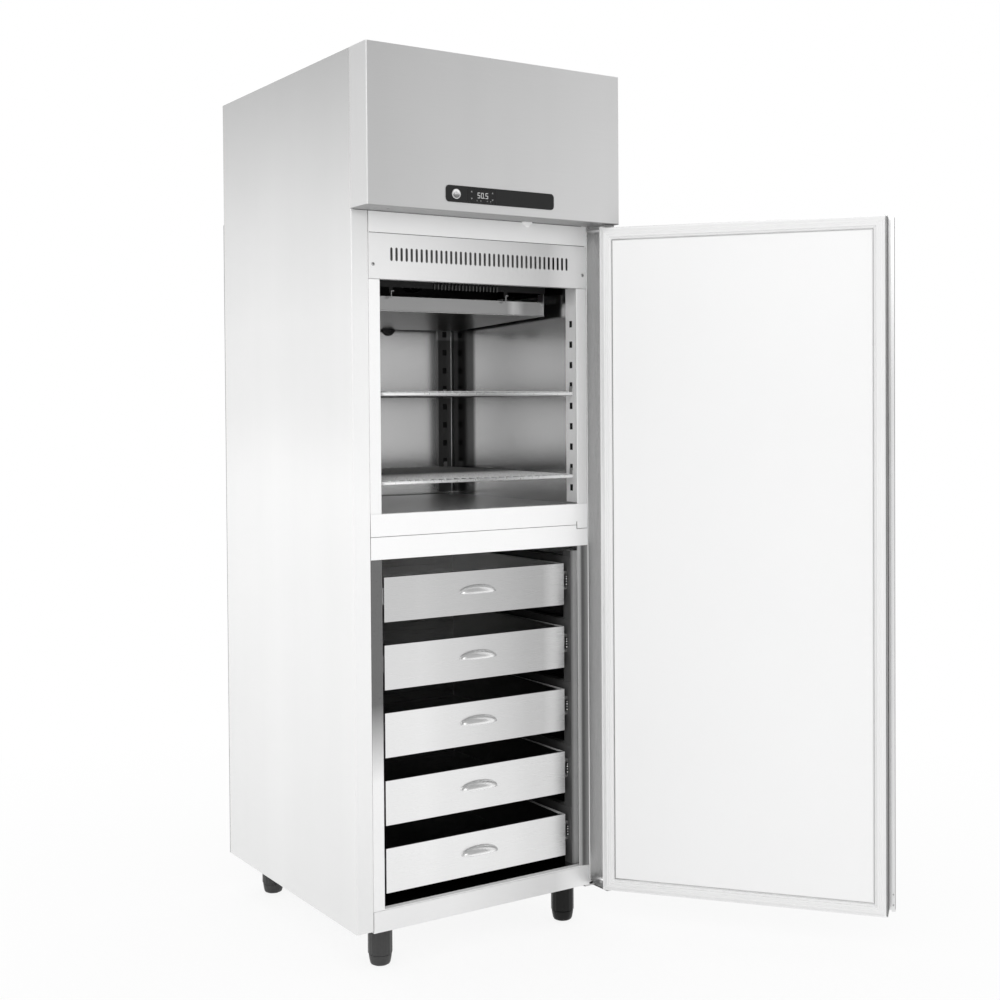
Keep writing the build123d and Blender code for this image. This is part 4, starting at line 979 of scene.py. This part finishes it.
def slide_ends():
    """A plastic catch and its pins on each drawer's inner slide members, and on the racks
    their bright screws over dark pads of painted shade that stand for holes."""
    below_top = 44.0
    catch_x, catch_y, catch_half = (262.2, 267.4), (36.0, 44.0), 14.0
    pin_x, pin_front = 264.8, 34.9
    # Each pin's height from the slide's middle, and radius
    pin_spots = ((-9.5, 1.5), (-2.0, 1.1), (4.5, 1.5), (10.5, 1.1))
    pad_x, pad_front = (274.3, 274.95), 27.0
    # Each dark pad's lower and upper end from the slide's middle, and its back
    pad_spans = ((22.6, 35.0, 60.0), (-22.6, 22.6, 39.8), (-35.0, -22.6, 60.0))
    screw_x = 274.4
    # Each screw's y, height from the slide's middle, and radius
    screw_spots = (
        (30.5, -29.5, 2.4), (31.0, 28.5, 2.0), (34.5, -15.0, 1.6), (32.5, 3.0, 2.2),
        (36.0, 13.0, 1.6), (44.0, -28.0, 1.5), (47.5, 29.5, 2.4), (56.0, -29.5, 1.8),
    )
    dark = plastic("catch_black_and_hole_shade", 16, 0.4)
    bright = plastic("pin_bright", 250, 0.3)
    rack_screws = Form()
    rack_pads = Form()
    for number, top in zip(DRAWERS, DRAWER_TOPS):
        z = top - below_top
        catch = Form()
        pins = Form()
        for side in (-1, 1):
            catch.slab(mirrored(side, *catch_x), catch_y, about(z, catch_half), 0.6)
            for up, radius in pin_spots:
                head = [(0.01, pin_front), (radius, pin_front + 0.3), (radius, pin_front + 2.1)]
                pins.turned(head, (side * pin_x, 0, z + up), "Y", 12)
            # Dark pads of painted shade where the racks' holes are
            for low, high, back in pad_spans:
                across = mirrored(side, *pad_x)
                rack_pads.slab(across, (pad_front, back), (z + low, z + high), 0.2)
            for y, up, radius in screw_spots:
                head = [(0.01, -1.0), (0.7 * radius, -0.9), (radius, -0.3), (radius, 0.4)]
                rack_screws.turned(
                    [(reach, side * out) for reach, out in head],
                    (side * screw_x, y, z + up), "X", 12,
                )
        body = f"drawer_unit_{number}"
        catch.place(f"slide_catch_{number}", dark, body, "slide_steel")
        pins.place(f"slide_pins_{number}", bright, body, "slide_steel", sharp=60)
    rack_screws.place("rack_screws", bright, "cabinet", "zinc_steel", sharp=60)
    rack_pads.place("rack_hole_shade", dark, "cabinet", "zinc_steel", sharp=60)


def seams():
    """Shadow lines where sheets meet: under the fascia and the header, round the divider's
    catch, along the door's edge and round its field."""
    # Each of the two long lines runs between two places on each axis
    fascia_line = (-345.0, 290.0), (-1.6, -0.2), (FASCIA_LOW - 0.9, FASCIA_LOW + 0.1)
    header_line = (-304.0, 300.0), (-0.3, 0.1), (HEADER_LOW - 0.4, HEADER_LOW + 0.9)
    catch_x, catch_end, catch_low, catch_high = 271.8, 304.0, 993.4, 1011.5
    catch_y, catch_line = (-0.9, 0.3), 0.9
    line = Form()
    line.slab(*fascia_line)
    line.slab(*header_line)
    line.slab((catch_x, catch_x + catch_line), catch_y, (catch_low, catch_high))
    line.slab((catch_x, catch_end), catch_y, (catch_low, catch_low + catch_line))
    line.place("fascia_seam", plastic("seam_dark", 62, 0.6), "cabinet", "stainless_shell")

    edge_near, edge_far, edge_skin, end_gap = 0.4, 3.4, 0.4, 2.5
    edge = Form()
    edge.slab(
        (DOOR_X[0] + edge_near, DOOR_X[0] + edge_far),
        (DOOR_INNER, DOOR_INNER + edge_skin),
        (DOOR_Z[0] + end_gap, DOOR_Z[1] - end_gap),
    )
    edge.swung().place("door_edge_seam", plastic("seam_grey", 120, 0.6), "door", "gasket_rubber")

    inset, width, bottom, top = 30.2, 1.6, DOOR_INNER + 0.1, DOOR_INNER + 0.5
    rings = []
    for margin, y in ((inset, bottom), (inset, top), (inset + width, top), (inset + width, bottom)):
        left, right = DOOR_X[0] + margin, DOOR_X[1] - margin
        low, high = DOOR_Z[0] + margin, DOOR_Z[1] - margin
        rings.append([(left, y, low), (right, y, low), (right, y, high), (left, y, high)])
    groove = Form()
    groove.rings(rings, joined=True)
    # The groove's painted shadow is dark along the hinge side and paler elsewhere
    grey = plastic("groove_grey", 118, 0.6, steps=[("X", 0.33, 0.36, 196)])
    groove.swung().place("field_groove", grey, "door", "gasket_rubber", sharp=20)


# The compressor's axis and underside, and how far its ports reach and how high they are
DECK_TOP = corners("machine_deck")[1][2]
PORT_REACH = 92.0
COMPRESSOR_X = middle("compressor")[0]
COMPRESSOR_Y = corners("compressor")[0][1] + PORT_REACH
COMPRESSOR_LOW = DECK_TOP + 22.0
PORT_Z = COMPRESSOR_LOW + 130.0


def compressor():
    """A domed pot on a foot plate with four rubber mounts, and two ports."""
    x, y = COMPRESSOR_X, COMPRESSOR_Y
    radius, wall_top, dome = 78.0, 164.0, 26.0
    plate_x, plate_y, plate_thick = 105.0, 80.0, 4.0
    mount_x, mount_y = 92.0, 67.0
    port_radius, port_root = 8.0, 70.0
    steps = 8
    turns = [math.pi / 2 * step / steps for step in range(steps)]
    profile = [(70.0, 0.0), (76.0, 3.0), (radius, 8.0)]
    profile += [(radius * math.cos(turn), wall_top + dome * math.sin(turn)) for turn in turns]
    profile.append((0.01, wall_top + dome))
    form = Form()
    form.turned(profile, (x, y, COMPRESSOR_LOW), sides=64)
    plate_z = (COMPRESSOR_LOW - plate_thick, COMPRESSOR_LOW)
    form.slab(about(x, plate_x), about(y, plate_y), plate_z, 1.0)
    mount = [(13.0, 0.0), (13.0, 6.0), (10.0, 9.0), (13.0, 12.0), (13.0, 18.0)]
    for side in (-1, 1):
        for end in (-1, 1):
            form.turned(mount, (x + side * mount_x, y + end * mount_y, DECK_TOP), sides=24)
    port = [(port_radius, -PORT_REACH), (port_radius, -port_root)]
    for axis in "XY":
        form.turned(port, (x, y, PORT_Z), axis, 24)
    form.place(
        "domed_compressor", looks["compressor_black"], "cabinet", "compressor_black",
        ("compressor",), sharp=40,
    )


def pipes():
    """Three bent pipes between the compressor, the condenser and the evaporator, and the
    drier on the liquid line."""
    x, y = COMPRESSOR_X, COMPRESSOR_Y
    pipe_radius, bend = 4.9, 18.0
    cross_y, gap_x, drier_x, liquid_run_z = 318.0, -32.0, 0.0, DECK_TOP + 55.0
    down_x, suction_y, liquid_y = -205.0, 296.0, 324.0
    condenser_x = corners("condenser")[1][0]
    condenser_y = middle("condenser")[1]
    drier_y = condenser_y + 90.0
    _, coil_back, coil_top = corners("evaporator_coil")[1]
    suction_z, liquid_z = coil_top - 30.0, coil_top - 56.0
    discharge = [
        (x, y - PORT_REACH, PORT_Z), (x, cross_y, PORT_Z), (gap_x, cross_y, PORT_Z),
        (gap_x, condenser_y, PORT_Z), (condenser_x, condenser_y, PORT_Z),
    ]
    liquid = [
        (condenser_x, condenser_y, liquid_run_z), (drier_x, condenser_y, liquid_run_z),
        (drier_x, liquid_y, liquid_run_z), (down_x, liquid_y, liquid_run_z),
        (down_x, liquid_y, liquid_z), (down_x, coil_back, liquid_z),
    ]
    suction = [
        (x - PORT_REACH, y, PORT_Z), (down_x, y, PORT_Z), (down_x, suction_y, PORT_Z),
        (down_x, suction_y, suction_z), (down_x, coil_back, suction_z),
    ]
    form = Form()
    for route in (discharge, liquid, suction):
        form.tube(bent(route, bend), pipe_radius, 16)
    drier = [
        (pipe_radius, 0.0), (8.0, 3.0), (12.6, 10.0), (12.9, 13.0), (12.9, 77.0), (12.6, 80.0),
        (8.0, 87.0), (pipe_radius, 90.0),
    ]
    form.turned(drier, (drier_x, drier_y, liquid_run_z), "Y", 32)
    form.place(
        "bent_pipes", looks["copper_pipe"], "cabinet", "copper_pipe", ("refrigerant_pipes",),
        sharp=40,
    )


handles()
levelling_feet()
gasket()
shelves()
grille()
display()
power_button()
switch()
screws()
slot_shadow_strips()
evaporator_front()
drain_nut()
slide_ends()
seams()
compressor()
pipes()


def floor():
    """A white floor that keeps the object's shadow. It is part lit near the object, and shows
    as plain white well away from it."""
    half = 60.0
    mesh = bpy.data.meshes.new("floor")
    outline = [(-half, -half, 0), (half, -half, 0), (half, half, 0), (-half, half, 0)]
    mesh.from_pydata(outline, [], [(0, 1, 2, 3)])
    obj = bpy.data.objects.new("floor", mesh)
    bpy.context.collection.objects.link(obj)
    obj.location.z = cad_box[0][2]

    # Distances from the middle in metres, and the share of plain white at each
    near, far = 0.9, 2.6
    near_share, far_share = 0.86, 1.0
    surface = Surface("floor")
    surface.shader.inputs["Base Color"].default_value = (0.95, 0.95, 0.95, 1)
    surface.shader.inputs["Roughness"].default_value = 0.9
    glow = surface.add("ShaderNodeEmission", Strength=1.0)
    path = surface.add("ShaderNodeLightPath")
    seen = surface.calculate(
        "MAXIMUM", path.outputs["Is Camera Ray"], path.outputs["Is Glossy Ray"]
    )
    away = surface.add("ShaderNodeVectorMath", operation="LENGTH")
    surface.link(surface.place, away.inputs[0])
    share = surface.remap(away.outputs["Value"], near_share, far_share, near, far)
    part = surface.calculate("MULTIPLY", seen, share)
    shown = surface.mix_shaders(part, surface.shader.outputs[0], glow.outputs[0])
    surface.link(shown, surface.tree.nodes["Material Output"].inputs["Surface"])
    mesh.materials.append(surface.material)


def room():
    """An even world that shows as white, with a ceiling that metal mirrors as a grey."""
    level = 0.96
    # How far up a mirrored ray points where the grey starts and is full, as its direction's Z,
    # and the strength at each
    grey_start, grey_end = 0.12, 0.30
    side_level, ceiling_level = 1.0, 0.25
    world = bpy.data.worlds.new("studio")
    bpy.context.scene.world = world
    world.use_nodes = True
    studio = Tree(world.node_tree)
    even = studio.tree.nodes["Background"]
    even.inputs["Color"].default_value = WHITE
    even.inputs["Strength"].default_value = level
    white = studio.add("ShaderNodeBackground", Color=WHITE, Strength=1.0)
    path = studio.add("ShaderNodeLightPath")
    seen = studio.calculate(
        "MAXIMUM", path.outputs["Is Camera Ray"], path.outputs["Is Transmission Ray"]
    )
    mirrored_room = studio.add("ShaderNodeBackground")
    place = studio.add("ShaderNodeTexCoord")
    axes = studio.add("ShaderNodeSeparateXYZ")
    studio.link(place.outputs["Generated"], axes.inputs[0])
    fall = studio.remap(axes.outputs["Z"], side_level, ceiling_level, grey_start, grey_end)
    studio.link(fall, mirrored_room.inputs["Strength"])
    lit = studio.mix_shaders(
        path.outputs["Is Glossy Ray"], even.outputs[0], mirrored_room.outputs[0]
    )
    shown = studio.mix_shaders(seen, lit, white.outputs[0])
    studio.link(shown, studio.tree.nodes["World Output"].inputs["Surface"])


def key_lamp():
    """A soft lamp over the photographer's left shoulder."""
    at, aim = Vector((-3.2, -3.8, 3.2)), Vector((0, 0, 1.0))
    data = bpy.data.lights.new("key", "AREA")
    data.energy = 30
    data.shape = "RECTANGLE"
    data.size = data.size_y = 2.4
    lamp = bpy.data.objects.new("key", data)
    bpy.context.collection.objects.link(lamp)
    lamp.location = at
    lamp.rotation_euler = (aim - at).to_track_quat("-Z", "Y").to_euler()


def camera():
    """The photograph's camera: yaw from +Y towards +X, then pitch down, then roll."""
    data = bpy.data.cameras.new("camera")
    data.sensor_width = CAMERA_SENSOR
    data.lens = CAMERA_LENS
    data.shift_x, data.shift_y = CAMERA_SHIFT
    data.clip_end = CAMERA_REACH
    item = bpy.data.objects.new("camera", data)
    bpy.context.collection.objects.link(item)
    item.matrix_world = (
        Matrix.Translation(CAMERA_AT)
        @ Matrix.Rotation(-CAMERA_YAW, 4, "Z")
        @ Matrix.Rotation(math.pi / 2 - CAMERA_PITCH, 4, "X")
        @ Matrix.Rotation(CAMERA_ROLL, 4, "Z")
    )
    bpy.context.scene.camera = item


floor()
room()
key_lamp()
camera()
bpy.context.scene.view_settings.view_transform = "Standard"
